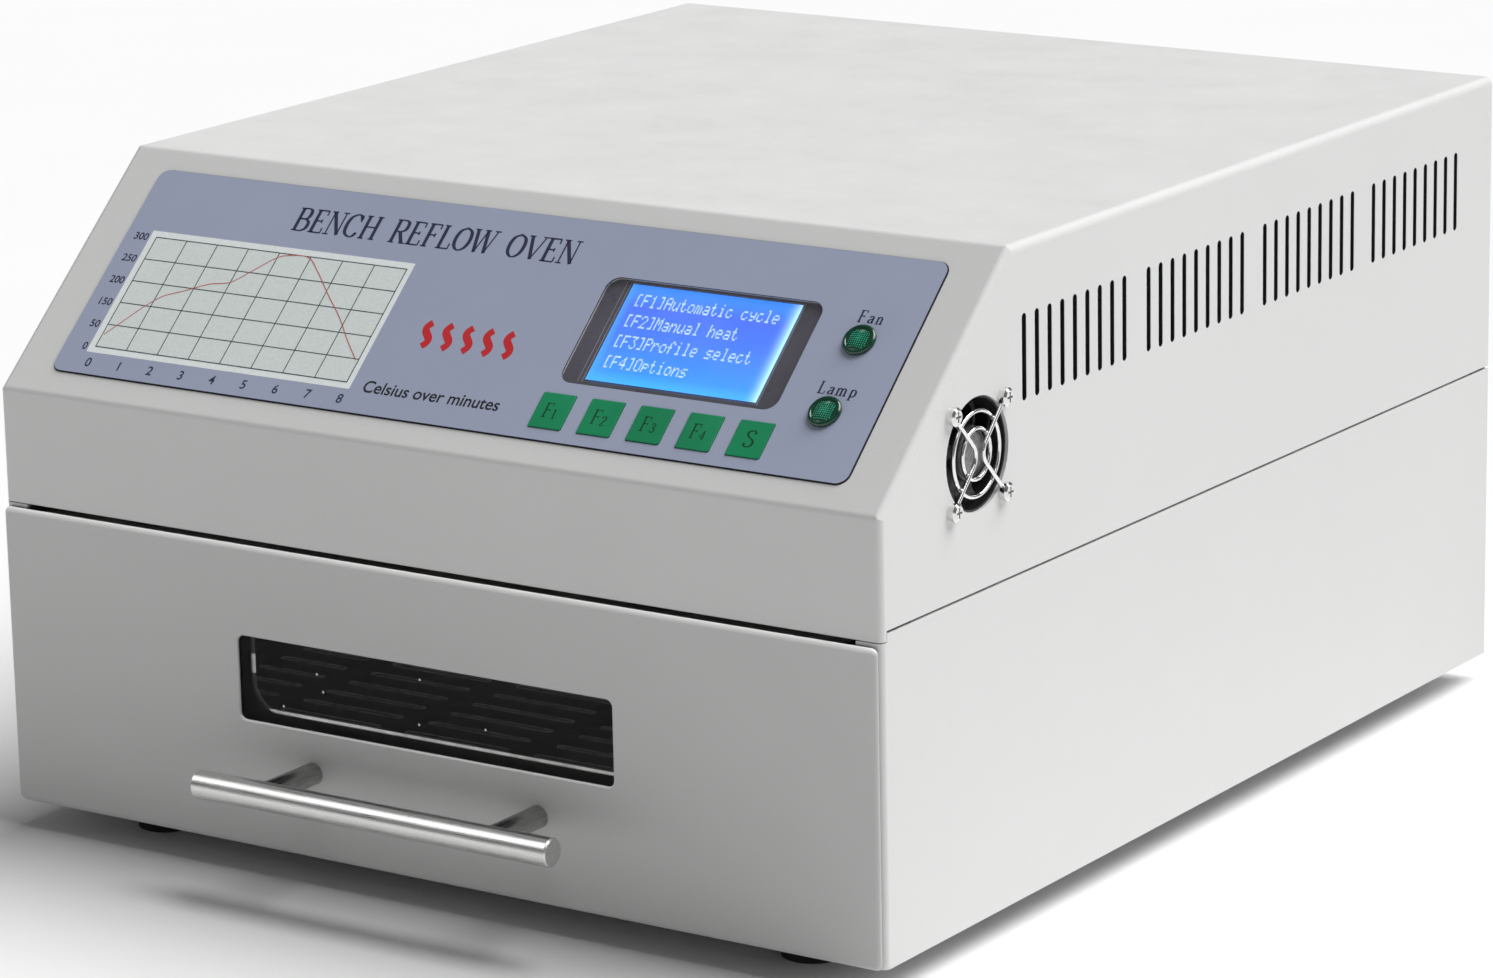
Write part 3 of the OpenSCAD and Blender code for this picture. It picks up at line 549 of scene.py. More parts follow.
def arc(cx, cy, radius, start, end, steps):
    return [
        (cx + radius * math.cos(math.radians(start + (end - start) * k / steps)),
         cy + radius * math.sin(math.radians(start + (end - start) * k / steps)))
        for k in range(steps + 1)
    ]


def rounded(x0, x1, y0, y1, radius, steps=6):
    """Anticlockwise outline of a rectangle with rounded corners."""
    return (
        arc(x1 - radius, y0 + radius, radius, -90, 0, steps)
        + arc(x1 - radius, y1 - radius, radius, 0, 90, steps)
        + arc(x0 + radius, y1 - radius, radius, 90, 180, steps)
        + arc(x0 + radius, y0 + radius, radius, 180, 270, steps)
    )


def smooth_path(points, steps=8):
    """Catmull-Rom curve through the points."""
    points = [Vector((*p, 0)) for p in points]
    ends = [points[0] * 2 - points[1]] + points + [points[-1] * 2 - points[-2]]
    out = []
    for a, b, c, d in zip(ends, ends[1:], ends[2:], ends[3:]):
        for k in range(steps):
            t = k / steps
            out.append(
                0.5 * (2 * b + (c - a) * t + (2 * a - 5 * b + 4 * c - d) * t * t
                       + (3 * b - a - 3 * c + d) * t ** 3)
            )
    return [tuple(p.xy) for p in out] + [tuple(points[-1].xy)]


def bridged(rings):
    """Closed band through rings of equally many points; the last ring joins the first."""
    count = len(rings[0])
    faces = []
    for r in range(len(rings)):
        for k in range(count):
            j = (k + 1) % count
            a, b = r * count, ((r + 1) % len(rings)) * count
            faces.append([a + k, a + j, b + j, b + k])
    return Shape().add([v for ring in rings for v in ring], faces)


# ---------- lettering ----------

# Roman letters drawn with a broad pen. Each is its width and its strokes, on a cap height of 10:
# "k" a thick stroke, "n" a thin one, "c" a curve, "s" a serif centred on its point.
STEM = "k 2,0 2,10 / s 2,0 / s 2,10"
LETTERS = {
    "B": (8, STEM + " / c 2,10 4.6,10 6,9 6,6.6 4.6,5.3 2,5.3"
                    " / c 2,5.3 4.8,5.3 6.7,4 6.7,1.4 4.8,0 2,0"),
    "C": (8, "c 6.6,8 5.6,9.6 4,10 1.7,8.4 1,5 1.7,1.6 4,0 5.6,0.3 6.8,2 / n 6.6,7 6.6,9.9"),
    "E": (7.4, STEM + " / n 2,10 6,10 / n 6,10 6,8 / n 2,5.2 4.8,5.2 / n 4.8,4.4 4.8,6"
                      " / n 2,0 6.4,0 / n 6.4,0 6.4,2.2"),
    "F": (7, STEM + " / n 2,10 6,10 / n 6,10 6,8 / n 2,5.2 4.8,5.2 / n 4.8,4.4 4.8,6"),
    "H": (8.6, STEM + " / k 6.8,0 6.8,10 / s 6.8,0 / s 6.8,10 / n 2,5.2 6.8,5.2"),
    "L": (7, STEM + " / n 2,0 6.2,0 / n 6.2,0 6.2,2.4"),
    "N": (8.8, "n 1.8,0 1.8,10 / k 1.8,10 7,0 / n 7,0 7,10 / s 1.8,0 / s 1.8,10 / s 7,10"),
    "O": (8.6, "c 4.2,10 1.8,8.4 1,5 1.8,1.6 4.2,0 6.6,1.6 7.4,5 6.6,8.4 4.2,10"),
    "R": (8.2, STEM + " / c 2,10 4.6,10 6.2,9 6.2,6.2 4.6,5 2,5 / k 4,5 6.8,0 / s 6.9,0"),
    "V": (8, "k 0.9,10 4,0 / n 4,0 7,10 / s 0.9,10 / s 7,10"),
    "W": (10.6, "k 0.8,10 3,0 / n 3,0 5.2,10 / k 5.2,10 7.4,0 / n 7.4,0 9.6,10"
                " / s 0.8,10 / s 5.2,10 / s 9.6,10"),
    "S": (7, "c 5.6,8 5,9.6 3.3,10 1.3,9 1.3,7 3,5.6 5,4.4 6,2.6 5,0.5 3.2,0 1.6,0.4 0.9,2.2"),
    "a": (5.6, "c 1.2,4.8 2.6,6 4.1,5.4 4.2,4 / k 4.2,5 4.2,0.4"
               " / c 4.2,3.6 2,3 1,1.6 1.8,0.1 3.4,0.6 4.2,1.6 / n 4.2,0.2 5.2,0.2"),
    "m": (9.4, "k 1.6,0 1.6,6 / c 1.6,4.6 3,6 4.3,5.5 4.7,4 4.7,0"
               " / c 4.7,4.6 6.1,6 7.4,5.5 7.8,4 7.8,0 / s 1.6,0 / s 4.7,0 / s 7.8,0"),
    "n": (6.4, "k 1.6,0 1.6,6 / c 1.6,4.6 3,6 4.3,5.5 4.7,4 4.7,0 / s 1.6,0 / s 4.7,0"),
    "p": (6.4, "k 1.6,-2.8 1.6,6 / c 1.6,4.8 3.2,6 5,4.6 5,1.4 3.2,0 1.6,1.2 / s 1.6,-2.8"),
    "1": (4.6, "k 2.6,0 2.6,10 / n 1.2,8.4 2.6,10 / s 2.6,0"),
    "2": (6.4, "c 1.2,7.6 2,9.6 3.8,10 5.4,8.6 5.2,6.6 3,3.4 1,0.2 / n 1,0 5.8,0"),
    "3": (6.2, "c 1.2,8.4 2.8,10 4.8,9.4 5,7 3,5.4 5.2,4.2 5.4,1.4 3.4,0 1,1.4"),
    "4": (6.4, "n 4.4,10 0.6,2.8 / n 0.6,2.8 6,2.8 / k 4.4,10 4.4,0"),
    " ": (6, ""),
}
PEN_THICK = 1.35
PEN_THIN = 0.5


def pen_stroke(shape, points, z0, z1, width_of):
    """A thin closed ribbon along the points; its width follows the direction of the stroke."""
    points = [Vector((*p, 0)) for p in points]
    verts = []
    for i, point in enumerate(points):
        along = (points[min(i + 1, len(points) - 1)] - points[max(i - 1, 0)]).normalized()
        side = Vector((-along.y, along.x, 0)) * width_of(along) / 2
        for edge in (point + side, point - side):
            verts += [(*edge.xy, z0), (*edge.xy, z1)]
    faces = [[0, 1, 3, 2], [len(verts) - 4, len(verts) - 2, len(verts) - 1, len(verts) - 3]]
    for k in range(0, len(verts) - 4, 4):
        a, b, c, d = k, k + 1, k + 2, k + 3
        faces += [[a, c, c + 4, a + 4], [b, b + 4, d + 4, d]]
        faces += [[a, a + 4, b + 4, b], [c, d, d + 4, c + 4]]
    shape.add(verts, faces)


def roman(shape, text, cap, x, y, z0, spacing=1.0, weight=1.0):
    """Serif lettering printed on a face at height z0, its baseline at y and its left end at x."""
    pen_x = x
    scale = cap / 10

    def pen(along):
        return math.hypot(PEN_THICK * along.y, PEN_THIN * along.x) * scale * weight

    for letter in text:
        width, strokes = LETTERS[letter]
        for stroke in filter(None, strokes.split(" / ")):
            kind, *numbers = stroke.split()
            points = [tuple(float(v) for v in pair.split(",")) for pair in numbers]
            if kind == "s":
                (at_x, at_y), = points
                points = [(at_x - 1.3, at_y), (at_x + 1.3, at_y)]
            if kind == "c":
                points = smooth_path(points, 6)
            placed = [(pen_x + px * scale, y + py * scale) for px, py in points]
            fixed = {"k": PEN_THICK * 0.95, "n": PEN_THIN * 1.1, "s": PEN_THIN}.get(kind)
            width_of = (lambda along, w=fixed: w * scale * weight) if fixed else pen
            pen_stroke(shape, placed, z0, z0 + PRINT_T, width_of)
        pen_x += width * scale * spacing
    return shape


# Dot-matrix letters, seven rows of five dots each
DOTS = {
    "[": ".###. .#... .#... .#... .#... .#... .###.",
    "]": ".###. ...#. ...#. ...#. ...#. ...#. .###.",
    "A": ".###. #...# #...# ##### #...# #...# #...#",
    "F": "##### #.... #.... ####. #.... #.... #....",
    "P": "####. #...# #...# ####. #.... #.... #....",
    "M": "#...# ##.## #.#.# #.#.# #...# #...# #...#",
    "O": ".###. #...# #...# #...# #...# #...# .###.",
    "1": "..#.. .##.. ..#.. ..#.. ..#.. ..#.. .###.",
    "2": ".###. #...# ....# ...#. ..#.. .#... #####",
    "3": "##### ...#. ..#.. ...#. ....# #...# .###.",
    "4": "...#. ..##. .#.#. #..#. ##### ...#. ...#.",
    "a": "..... ..... .###. ....# .#### #...# .####",
    "c": "..... ..... .###. #.... #.... #...# .###.",
    "e": "..... ..... .###. #...# ##### #.... .###.",
    "f": "..##. .#..# .#... ###.. .#... .#... .#...",
    "h": "#.... #.... #.##. ##..# #...# #...# #...#",
    "i": "..#.. ..... .##.. ..#.. ..#.. ..#.. .###.",
    "l": ".##.. ..#.. ..#.. ..#.. ..#.. ..#.. .###.",
    "m": "..... ..... ##.#. #.#.# #.#.# #.#.# #.#.#",
    "n": "..... ..... #.##. ##..# #...# #...# #...#",
    "o": "..... ..... .###. #...# #...# #...# .###.",
    "p": "..... ..... ####. #...# ####. #.... #....",
    "r": "..... ..... #.##. ##..# #.... #.... #....",
    "s": "..... ..... .#### #.... .###. ....# ####.",
    "t": ".#... .#... ###.. .#... .#... .#..# ..##.",
    "u": "..... ..... #...# #...# #...# #..## .##.#",
    "y": "..... ..... #...# #...# .#### ....# .###.",
    " ": "..... ..... ..... ..... ..... ..... .....",
}


def dot_text(shape, text, x, y, step_x, step_y, height):
    """Lit dots of one line of text, as flat cells joined along each row."""
    cell_w, cell_h = 0.96 * step_x, 0.94 * step_y
    for letter in text:
        for row, cells in enumerate(DOTS[letter].split()):
            column = 0
            while column < 5:
                run = 0
                while column + run < 5 and cells[column + run] == "#":
                    run += 1
                if run:
                    x0 = x + column * step_x
                    y0 = y + (6 - row) * step_y
                    shape.box(x0, x0 + run * cell_w, y0, y0 + cell_h, height, height + PRINT_T)
                column += max(run, 1)
        x += 6 * step_x


def plain_text(text, size, x, y, height, align="CENTER", bold=0.06):
    """Mesh of plain sans lettering: its middle, left or right end at x, its baseline at y."""
    curve = bpy.data.curves.new("plain_text", "FONT")
    curve.body = text
    curve.size = size
    curve.align_x = align
    curve.extrude = PRINT_T / 2
    curve.offset = bold
    holder = bpy.data.objects.new("plain_text", curve)
    mesh = bpy.data.meshes.new_from_object(holder)
    mesh.transform(Matrix.Translation((x, y, height + PRINT_T / 2)))
    bpy.data.objects.remove(holder)
    return mesh


def joined(meshes):
    work = bmesh.new()
    for mesh in meshes:
        work.from_mesh(mesh)
    out = bpy.data.meshes.new("joined")
    work.to_mesh(out)
    work.free()
    return out


# ---------- finishes of the CAD nodes ----------

PAINT = (0.73, 0.73, 0.725)
# Painted shade: the drawer front's paint is the case paint made darker, for the shade the front
# lies in
front_paint_shaded = powder_coat("front_paint_shaded", shade(PAINT, 0.82))
FINISHES = {
    powder_coat("cover_paint", PAINT, shaded_vents=True): "top_cover",
    powder_coat("case_paint", PAINT): "base_tray",
    powder_coat("rear_paint", shade(PAINT, 0.95)): "rear_panel",
    zinc("zinc_sheet", (0.62, 0.62, 0.62)): "deck_plate slide_brackets hood_spacers",
    zinc("slide_steel", (0.70, 0.70, 0.70), 0.25): "slide_outer slide_middle slide_inner",
    soot_steel("liner_steel", (0.55, 0.55, 0.55)): "chamber_hood inner_panel",
    soot_steel("tray_steel", (0.48, 0.48, 0.48)): "drawer_pan tray_floor",
    metal("brushed_bar", (0.74, 0.735, 0.73), 0.27, (0.012, 1, 1), 3800, 0.14, 0.45): "handle_bar",
    metal("brushed_post", (0.44, 0.435, 0.43), 0.24, (1, 0.02, 1), 3400, 0.1, 0.3): "handle_posts",
    metal("nickel_screws", (0.80, 0.80, 0.79), 0.16, (1, 1, 1), 900, 0.08, 0.1):
        "foot_screws case_screws fan_screws fan_nuts handle_screws",
    metal("chrome_wire", (0.88, 0.88, 0.88), 0.12, (1, 1, 1), 700, 0.06, 0.08):
        "side_fan_guard exhaust_fan_guard",
    metal("pin_metal", (0.75, 0.72, 0.62), 0.2): "inlet_pins",
    metal("probe_steel", (0.6, 0.58, 0.54), 0.35): "thermocouples",
    metal("extrusion", (0.75, 0.75, 0.76), 0.35, (1, 0.05, 1), 800): "heat_sink",
    metal("brass_spacers", (0.72, 0.55, 0.28), 0.25): "board_standoffs",
    metal("lamination", (0.30, 0.29, 0.28), 0.5, (1, 1, 0.05), 2400, 0.2, 0.6): "transformer_core",
    metal("copper_winding", (0.66, 0.30, 0.14), 0.3, (1, 1, 0.08), 1500, 0.15, 0.9):
        "transformer_coil",
    rubber("foot_rubber", (0.025, 0.025, 0.026)): "feet",
    rubber("seal_rope", (0.52, 0.50, 0.46)): "door_seal",
    overlay_print("overlay_print", srgb(166, 174, 197)): "control_overlay",
    plastic("bezel_plastic", srgb(72, 68, 82), 0.32): "lcd_bezel",
    plastic("display_rear", (0.10, 0.14, 0.25), 0.3): "lcd_display",
    plastic("black_plastic", (0.022, 0.022, 0.024), 0.42):
        "side_fan_frame exhaust_fan_frame power_inlet switch_frame fuse_drawer window_frame"
        " key_switches",
    plastic("rocker_plastic", (0.018, 0.018, 0.019), 0.28): "power_rocker",
    plastic("component_blue", (0.06, 0.12, 0.35), 0.35): "board_parts",
    circuit("control_mask", (0.02, 0.13, 0.05)): "control_board",
    circuit("power_mask", (0.16, 0.11, 0.04)): "power_board",
    fibre_board("ceramic_fibre", (0.78, 0.76, 0.70)): "hood_insulation floor_insulation",
    fibre_board("steatite", (0.72, 0.70, 0.66)): "lamp_end_caps",
    quartz("quartz"): "heater_tubes",
    tinted_glass("window_glass", (0.010, 0.010, 0.011), 0.30): "window_glass",
    plastic("key_green", srgb(12, 142, 92), 0.5, 900, 0.2, edge=0.45):
        "key_f1 key_f2 key_f3 key_f4 key_s",
    clear_pane("lcd_pane"): "lcd_window",
}
for material, names in FINISHES.items():
    for name in names.split():
        data = nodes[name].data
        data.materials.clear()
        data.materials.append(material)

POLISHED = [nodes[name] for name in (
    "handle_bar handle_posts side_fan_guard exhaust_fan_guard fan_screws case_screws".split()
)]


# ---------- print on the control panel ----------

def printed(name, shape, material, body=CASE):
    return build(name, shape, material, body, ON_SLOPE)


navy = ink("print_navy", srgb(48, 52, 78))
black_ink = ink("print_black", srgb(38, 40, 48))

OVERLAY_HALF = 167
OVERLAY_LOW, OVERLAY_HIGH = 10.2, 99.5
OVERLAY_R = 4.2
# Painted shadow: a thin near-black ring on the cover around the overlay's outline, for the shadow
# of its raised edge
SHADOW_BAND_W, SHADOW_BAND_T = 0.42, 0.05
outer = rounded(-OVERLAY_HALF - SHADOW_BAND_W, OVERLAY_HALF + SHADOW_BAND_W,
                OVERLAY_LOW - SHADOW_BAND_W, OVERLAY_HIGH + SHADOW_BAND_W, OVERLAY_R + SHADOW_BAND_W)
inner = rounded(-OVERLAY_HALF, OVERLAY_HALF, OVERLAY_LOW, OVERLAY_HIGH, OVERLAY_R)
shadow_band_section = ((outer, 0), (outer, SHADOW_BAND_T), (inner, SHADOW_BAND_T), (inner, 0))
shadow_band = bridged([[(x, y, z) for x, y in line] for line, z in shadow_band_section])
printed("overlay_shadow_line", shadow_band, ink("painted_overlay_shadow", srgb(44, 44, 54)))

panel_edge = rounded(-155.9, -38.7, 19.3, 73.0, 0.4, 3)
panel = Shape().prism(panel_edge, OVERLAY_TOP, OVERLAY_TOP + PRINT_T)
printed("chart_panel", panel, ink("print_white", srgb(240, 245, 245)))
GRID_LOW = (-153.0, 21.9)
CELL = (14.0, 9.68)
COLUMNS, ROWS = 8, 5
GRID_HIGH = (GRID_LOW[0] + COLUMNS * CELL[0], GRID_LOW[1] + ROWS * CELL[1])
field_z = OVERLAY_TOP + PRINT_T
line_z = field_z + PRINT_T
field = Shape().box(GRID_LOW[0], GRID_HIGH[0], GRID_LOW[1], GRID_HIGH[1], field_z, line_z)
printed("chart_field", field, ink("print_pale", srgb(224, 232, 230)))
LINE = 0.19  # half the width of a grid line
grid = Shape()
for k in range(COLUMNS + 1):
    x = GRID_LOW[0] + k * CELL[0]
    grid.box(x - LINE, x + LINE, GRID_LOW[1] - LINE, GRID_HIGH[1] + LINE, line_z, line_z + PRINT_T)
for k in range(ROWS + 1):
    y = GRID_LOW[1] + k * CELL[1]
    grid.box(GRID_LOW[0] - LINE, GRID_HIGH[0] + LINE, y - LINE, y + LINE, line_z, line_z + PRINT_T)
printed("chart_grid", grid, ink("print_green_grey", srgb(66, 84, 82)))

# Temperature against time: preheat, soak, reflow and cooling
PROFILE = [(0.05, 0.55), (0.4, 1.2), (0.8, 1.95), (1.2, 2.5), (1.7, 2.82), (2.4, 3.28),
           (3.0, 3.48), (3.5, 4.12), (4.0, 4.78), (4.45, 4.97), (4.95, 4.95), (5.4, 4.45),
           (6.1, 3.5), (6.8, 2.6), (7.35, 1.75), (7.92, 0.95)]
curve = Shape()
pen_stroke(
    curve,
    smooth_path([(GRID_LOW[0] + t * CELL[0], GRID_LOW[1] + h * CELL[1]) for t, h in PROFILE], 6),
    line_z + PRINT_T, line_z + 2 * PRINT_T, lambda along: 0.36,
)
printed("chart_curve", curve, ink("print_rose", srgb(198, 108, 108)))

numbers = [
    plain_text(str(k), 5.2, GRID_LOW[0] + 0.6 + k * CELL[0], 13.3, OVERLAY_TOP)
    for k in range(COLUMNS + 1)
] + [
    plain_text(str(value), 4.3, -156.6, GRID_LOW[1] + row * CELL[1] - 1.7, OVERLAY_TOP, "RIGHT")
    for row, value in enumerate((0, 50, 150, 200, 250, 300))
]
dress("chart_numbers", joined(numbers), navy, CASE, ON_SLOPE)
caption = plain_text("Celsius over minutes", 6.8, -33.5, 19.0, OVERLAY_TOP, "LEFT", 0.08)
dress("chart_caption", caption, black_ink, CASE, ON_SLOPE)

title = roman(Shape(), "BENCH REFLOW OVEN", 9.5, -98.5, 80.7, OVERLAY_TOP, 0.96, 1.15)
printed("panel_title", title, navy)
lamp_words = roman(Shape(), "Fan", 4.7, 142.6, 72.3, OVERLAY_TOP, 1.18, 1.2)
roman(lamp_words, "Lamp", 4.7, 140.6, 43.2, OVERLAY_TOP, 1.18, 1.2)
printed("lamp_words", lamp_words, navy)

# A plain heat mark of five rising waves
FIRST_WAVE, WAVE_PITCH, WAVE_FOOT, WAVE_HIGH, WAVE_STEPS = -19, 8.6, 40.2, 10, 16
heat_mark = Shape()
parts = [step / WAVE_STEPS for step in range(WAVE_STEPS + 1)]
for k in range(5):
    x = FIRST_WAVE + WAVE_PITCH * k
    wave = [(x + 1.6 * math.sin(math.tau * part), WAVE_FOOT + WAVE_HIGH * part) for part in parts]
    pen_stroke(heat_mark, wave, OVERLAY_TOP, OVERLAY_TOP + PRINT_T, lambda along: 2.9)
printed("heat_mark", heat_mark, ink("print_red", srgb(204, 44, 50)))

legend_ink = ink("legend_green", srgb(6, 66, 42))
KEY_TOP = 0.95
KEY_MIDDLE, KEY_PITCH = 85.3, 19.85
KEYS = (("key_f1", "F", "1"), ("key_f2", "F", "2"), ("key_f3", "F", "3"), ("key_f4", "F", "4"),
        ("key_s", "S", ""))
for k, (body, letter, digit) in enumerate(KEYS):
    x = KEY_MIDDLE + (k - 2) * KEY_PITCH
    legend = Shape()
    if digit:
        roman(legend, letter, 5.6, x - 3.6, 19.2, KEY_TOP, 1.0, 0.9)
        roman(legend, digit, 3.6, x + 0.5, 19.0, KEY_TOP, 1.0, 1.1)
    else:
        roman(legend, letter, 6.4, x - 2.1, 18.8, KEY_TOP)
    printed("legend_" + body, legend, legend_ink, body)


# ---------- display ----------

DISPLAY_TOP = -1.28
LIT = (DISPLAY_TOP, DISPLAY_TOP + PRINT_T)
picture = Shape().box(LCD_LOW[0], LCD_HIGH[0], LCD_LOW[1], LCD_HIGH[1], *LIT)
build("lcd_picture", picture, back_light("lcd_back_light"), CASE, ON_SLOPE)
menu = Shape()
MENU = ("[F1]Automatic cycle", "[F2]Manual heat", "[F3]Profile select", "[F4]Options")
for row, line in enumerate(MENU):
    dot_text(menu, line, 54.2, 68.4 - 8.5 * row, 0.515, 0.74, DISPLAY_TOP + PRINT_T)
build("lcd_menu", menu, glow_text("lcd_dots"), CASE, ON_SLOPE)
# Painted highlights along the edges of the display's frame: one over the picture, two left of it
# and one right of it
bezel_highlights = Shape().box(
    LCD_LOW[0] - 0.9, LCD_HIGH[0] + 0.8, LCD_HIGH[1] + 0.25, LCD_HIGH[1] + 0.5, *LIT,
)
for x in (LCD_LOW[0] - 2.6, LCD_LOW[0] - 0.9, LCD_HIGH[0] + 0.8):
    bezel_highlights.box(x - 0.14, x + 0.14, LCD_LOW[1] - 1.2, LCD_HIGH[1] + 0.5, *LIT)
build("bezel_highlights", bezel_highlights, ink("bezel_painted_highlight", srgb(150, 146, 158)),
      CASE, ON_SLOPE)


# ---------- indicator lenses ----------

LAMPS = ((147.5, 65.0), (147.6, 36.0))
FACET_PITCH, FACET_HALF = 0.78, 0.35
FACETED_R = 3.9
rims = Shape()
facets = Shape()
RIM = [(0, -0.6), (5.75, -0.6), (5.75, 0.6), (6.0, 0.75), (6.0, 1.5), (5.7, 2.05), (5.2, 2.3),
       (4.7, 2.2), (4.4, 1.75), (3.6, 2.0), (2.4, 2.22), (1.2, 2.32), (0, 2.35)]
for centre in LAMPS:
    rims.lathe(RIM, 48, centre)
    for i in range(-5, 6):
        for j in range(-5, 6):
            px, py = i * FACET_PITCH, j * FACET_PITCH
            if math.hypot(px, py) > FACETED_R:
                continue
            base = 2.36 - 0.034 * (px * px + py * py)
            cx, cy, half = centre[0] + px, centre[1] + py, FACET_HALF
            foot = base - 0.06
            facets.add(
                [(cx - half, cy - half, foot), (cx + half, cy - half, foot),
                 (cx + half, cy + half, foot), (cx - half, cy + half, foot), (cx, cy, base + 0.24)],
                [[3, 2, 1, 0], [0, 1, 4], [1, 2, 4], [2, 3, 4], [3, 0, 4]],
            )
dark_green = lens_green("lens_dark_green", srgb(0, 62, 42), 0.0)
lens_rim_piece = build("lens_rims", rims, dark_green, CASE, ON_SLOPE,
                       smooth=True, stands_for=("indicator_lenses",))
# Faceted centre: its lighter green and its glow are painted light seen through the lens, since the
# lamp is off
facet_glow_green = lens_green("lens_facets_painted_glow", srgb(26, 166, 128), 0.08)
lens_facet_piece = build("lens_facets", facets, facet_glow_green, CASE, ON_SLOPE)


# ---------- drawer window and chamber ----------

def roll(inward, deep, steps=6):
    """Insets and depths around a rolled edge, from the sheet's side to its face."""
    angles = [math.radians(90 * k / steps) for k in range(steps + 1)]
    return [(inward * (1 - math.cos(a)), deep * (1 - math.sin(a))) for a in angles]


def rolled_front():
    """Drawer front as one sheet with a window and rounded edges, in case coordinates."""
    face_y = (low("drawer_front").y - FRONT_Y) / MM
    back_y = (high("drawer_front").y - FRONT_Y) / MM
    half_w = high("drawer_front").x / MM
    height = (high("drawer_front").z - low("drawer_front").z) / MM
    window_half, window_low, window_high = 79.5, 46.0, 76.4
    corner_r, window_r = 2.4, 2.5

    def outer_ring(inset, depth):
        outline = rounded(-half_w + inset, half_w - inset, inset, height - inset,
                          max(corner_r - inset, 0.4))
        return [(x, face_y + depth, z) for x, z in outline]

    def window_ring(inset, depth):
        outline = rounded(-window_half - inset, window_half + inset,
                          window_low - inset, window_high + inset, window_r + inset)
        return [(x, face_y + depth, z) for x, z in outline]

    sheet = back_y - face_y
    return bridged(
        [outer_ring(0, sheet)] + [outer_ring(*place) for place in roll(2.0, 1.15)]
        + [window_ring(*place) for place in reversed(roll(0.7, 0.7))] + [window_ring(0, sheet)]
    )


front_sheet = build("front_sheet", rolled_front(), front_paint_shaded, DRAWER, AT_CASE,
                    smooth=True, stands_for=("drawer_front",))
flat_shade = front_sheet.modifiers.new("flat_faces", "WEIGHTED_NORMAL")
flat_shade.weight = 100
flat_shade.keep_sharp = True

# Worn lip of the inner panel's opening, with a painted highlight as glow along its bottom and in a
# band up each side
LIP_HALF, LIP_LOW, LIP_HIGH, LIP_CORNER = 90.6, 42.5, 81.5, 10.6
LIP_Y, LIP_R = 20.0, 0.5
opening = rounded(-LIP_HALF, LIP_HALF, LIP_LOW, LIP_HIGH, LIP_CORNER, 10)
lip = Shape().tube([(x, LIP_Y, z) for x, z in opening], LIP_R, 8, closed=True)
build("opening_lip", lip,
      worn_edge("lip_painted_glint", 0.9, 0.9, glint_heights=((41.0, 43.2), (55.5, 62.5))),
      DRAWER, AT_CASE, smooth=True)

# Pressed edges of the tray slots, as thin rods whose glow is a painted highlight
SLOT_ROWS, SLOT_PITCH, FIRST_SLOT = 24, 13.2, 40.9
SLOT_COLUMNS = ((28.2, 22.25), (84.6, 22.25), (133.75, 15))  # middle and half length of each
SLOT_HALF_W, SLOT_R = 1.5, 1.45
TRAY_TOP = 30.85
slot_glint_rods = Shape()
for row in range(SLOT_ROWS):
    y = FIRST_SLOT + SLOT_PITCH * row
    for x, half in SLOT_COLUMNS:
        for side in (-1, 1):
            outline = rounded(side * x - half, side * x + half, y - SLOT_HALF_W, y + SLOT_HALF_W,
                              SLOT_R, 3)
            slot_glint_rods.tube([(px, py, TRAY_TOP) for px, py in outline], 0.16, 5, closed=True)
build("slot_glint_rods", slot_glint_rods, worn_edge("slot_painted_glint", 0.7, 0.09),
      DRAWER, AT_CASE, smooth=True)

LAMP_ROWS, LAMP_Z, LAMP_HALF = (80, 170, 260, 350), 91, 152
COIL_TURN, COIL_R, COIL_STEPS = 3.2, 2.0, 10
coils = Shape()
for y in LAMP_ROWS:
    path = []
    for k in range(int(2 * LAMP_HALF / COIL_TURN) * COIL_STEPS):
        angle = math.tau * k / COIL_STEPS
        x = -LAMP_HALF + COIL_TURN * k / COIL_STEPS
        path.append((x, y + COIL_R * math.cos(angle), LAMP_Z + COIL_R * math.sin(angle)))
    coils.tube(path, 0.32, 4)
build("filament_coils", coils, metal("tungsten", (0.45, 0.42, 0.40), 0.4),
      CASE, AT_CASE, smooth=True, stands_for=("heater_filaments",))


# ---------- fans ----------

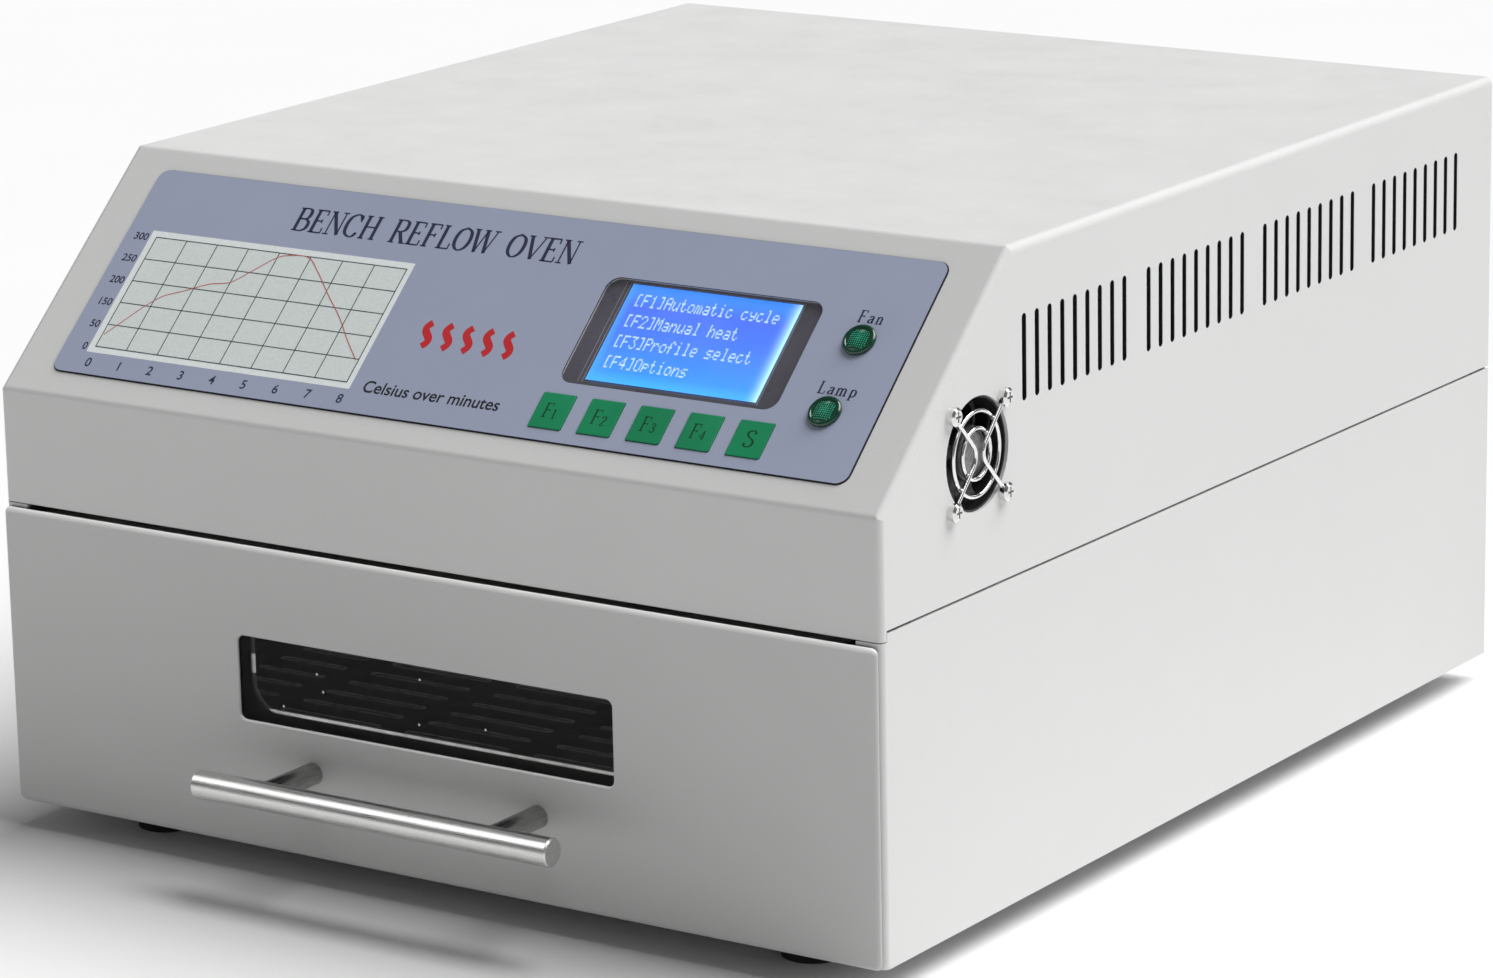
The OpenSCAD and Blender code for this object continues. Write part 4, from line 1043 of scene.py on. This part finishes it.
def fan_wheel(name, body, size, depth, hub_r, place):
    """Hub with a rounded face and seven curved, twisted blades, inside the CAD rotor's room."""
    tip = size / 2 - 2.7
    back = -1.2 - depth + 2.4
    front = -2.4
    wheel = Shape().lathe([
        (0, back), (hub_r - 0.3, back), (hub_r, back + 0.4), (hub_r, front - 1.2),
        (hub_r - 0.3, front - 0.5), (hub_r - 1.1, front - 0.05), (hub_r - 2, front), (0, front),
    ], 48)
    blades, rows, chord = 7, 7, 5
    thick = size * 0.014
    for blade in range(blades):
        start = math.tau * blade / blades
        verts = []
        for row in range(rows):
            part = row / (rows - 1)
            radius = hub_r - 0.6 + (tip - hub_r + 0.6) * part
            sweep = 0.34 * part * part
            width = math.radians(44 - 8 * part)
            for skin in (0, 1):
                for c in range(chord):
                    t = c / (chord - 1)
                    angle = start + sweep + width * (t - 0.5)
                    rise = (front - 1.0 - back - 1.0) * (t + 0.10 * math.sin(math.pi * t))
                    offset = thick * (0.5 - skin) * (0.35 + math.sin(math.pi * t))
                    z = back + 0.8 + rise * (1 - 0.12 * part) + offset
                    verts.append((radius * math.cos(angle), radius * math.sin(angle), z))
        faces = []
        for row in range(rows - 1):
            for c in range(chord - 1):
                for skin in (0, 1):
                    a = (2 * row + skin) * chord + c
                    b = a + 2 * chord
                    faces.append([a, a + 1, b + 1, b] if skin else [a, b, b + 1, a + 1])
            for c in (0, chord - 1):
                a = 2 * row * chord + c
                b = a + 2 * chord
                faces.append([a, a + chord, b + chord, b] if c else [a, b, b + chord, a + chord])
        for row in (0, rows - 1):
            for c in range(chord - 1):
                a = 2 * row * chord + c
                faces.append([a, a + 1, a + chord + 1, a + chord])
        wheel.add(verts, faces)
    build(name, wheel, fan_plastic, body, place, stands_for=(body,))
    label_r, label_top = hub_r - 2.4, front + PRINT_T
    label = Shape().lathe([(0, front), (label_r, front), (label_r, label_top), (0, label_top)], 48)
    build(name + "_label", label, fan_label, body, place)


fan_plastic = plastic("fan_plastic", (0.030, 0.030, 0.033), 0.32)
fan_label = hub_film("fan_label")
fan_wheel("side_wheel", "side_fan_rotor", 40, 10, 9.5, SIDE_FAN)
fan_wheel("exhaust_wheel", "exhaust_fan_rotor", 80, 25, 17, EXHAUST)


# ---------- floor, light and camera ----------

floor_paint = Paint("studio_floor")
floor_paint.tint(floor_paint.noise(3, 4), (0.862, 0.862, 0.862), (0.87, 0.87, 0.87))
floor_paint.gloss(floor_paint.noise(8, 3), 0.85, 0.95)
floor_mesh = bpy.data.meshes.new("floor")
floor_mesh.from_pydata([(-8, -8, 0), (8, -8, 0), (8, 8, 0), (-8, 8, 0)], [], [(0, 1, 2, 3)])
floor_mesh.materials.append(floor_paint.material)
floor = bpy.data.objects.new("floor", floor_mesh)
bpy.context.scene.collection.objects.link(floor)

scene = bpy.context.scene
world = bpy.data.worlds.new("studio")
world.use_nodes = True
sky = world.node_tree.nodes["Background"].inputs
sky["Color"].default_value = (1, 1, 1, 1)
sky["Strength"].default_value = 0.15
scene.world = world


def light(name, kind, energy, towards, distance=2.0, **settings):
    """A light placed in the direction given from the object's middle, aimed at it."""
    data = bpy.data.lights.new(name, kind)
    data.energy = energy
    for key, value in settings.items():
        setattr(data, key, value)
    lamp = bpy.data.objects.new(name, data)
    towards = Vector(towards).normalized()
    lamp.matrix_world = Matrix.Translation(Vector((0, 0, 0.12)) + towards * distance) @ (
        towards.to_track_quat("Z", "Y").to_matrix().to_4x4()
    )
    scene.collection.objects.link(lamp)
    return lamp


light("key_sun", "SUN", 3.60, (0.36, 0.34, 0.87), angle=math.radians(50))
# Soft boxes that light only the polished metal, the lenses or the drawer front
for name, energy, towards, width, height, lit in (
    ("metal_box", 12.0, (-0.52, -0.50, 0.74), 1.2, 1.5, POLISHED),
    ("post_box", 5.0, (0.62, -0.30, 0.72), 0.4, 1.4, POLISHED),
    ("lens_box", 0.8, (-0.45, 0.10, 0.88), 0.30, 0.30, [lens_rim_piece, lens_facet_piece]),
    ("edge_box", 66.0, (0.0, -0.10, 1.0), 1.2, 0.34, [front_sheet]),
):
    box = light(name, "AREA", energy, towards, 2.4, shape="RECTANGLE", size=width, size_y=height)
    receivers = bpy.data.collections.new(name + "_lit")
    for piece in lit:
        receivers.objects.link(piece)
    box.light_linking.receiver_collection = receivers

YAW, PITCH, ROLL = (math.radians(a) for a in (34.19, 14.42, -1.15))
back = Vector((math.sin(YAW) * math.cos(PITCH), -math.cos(YAW) * math.cos(PITCH), math.sin(PITCH)))
right = (-back).cross(Vector((0, 0, 1))).normalized()
up = right.cross(-back)
camera_x = math.cos(ROLL) * right + math.sin(ROLL) * up
camera_y = math.cos(ROLL) * up - math.sin(ROLL) * right
turn = Matrix((camera_x, camera_y, back)).transposed().to_4x4()
camera_data = bpy.data.cameras.new("camera")
camera_data.lens = 134.04
camera_data.sensor_width = 36
camera_data.clip_start = 0.05
camera_data.clip_end = 60
camera = bpy.data.objects.new("camera", camera_data)
camera.matrix_world = Matrix.Translation((1.11065, FRONT_Y - 1.43781, CASE_FLOOR + 0.60223)) @ turn
scene.collection.objects.link(camera)
scene.camera = camera
scene.view_settings.view_transform = "Standard"
scene.view_settings.look = "None"
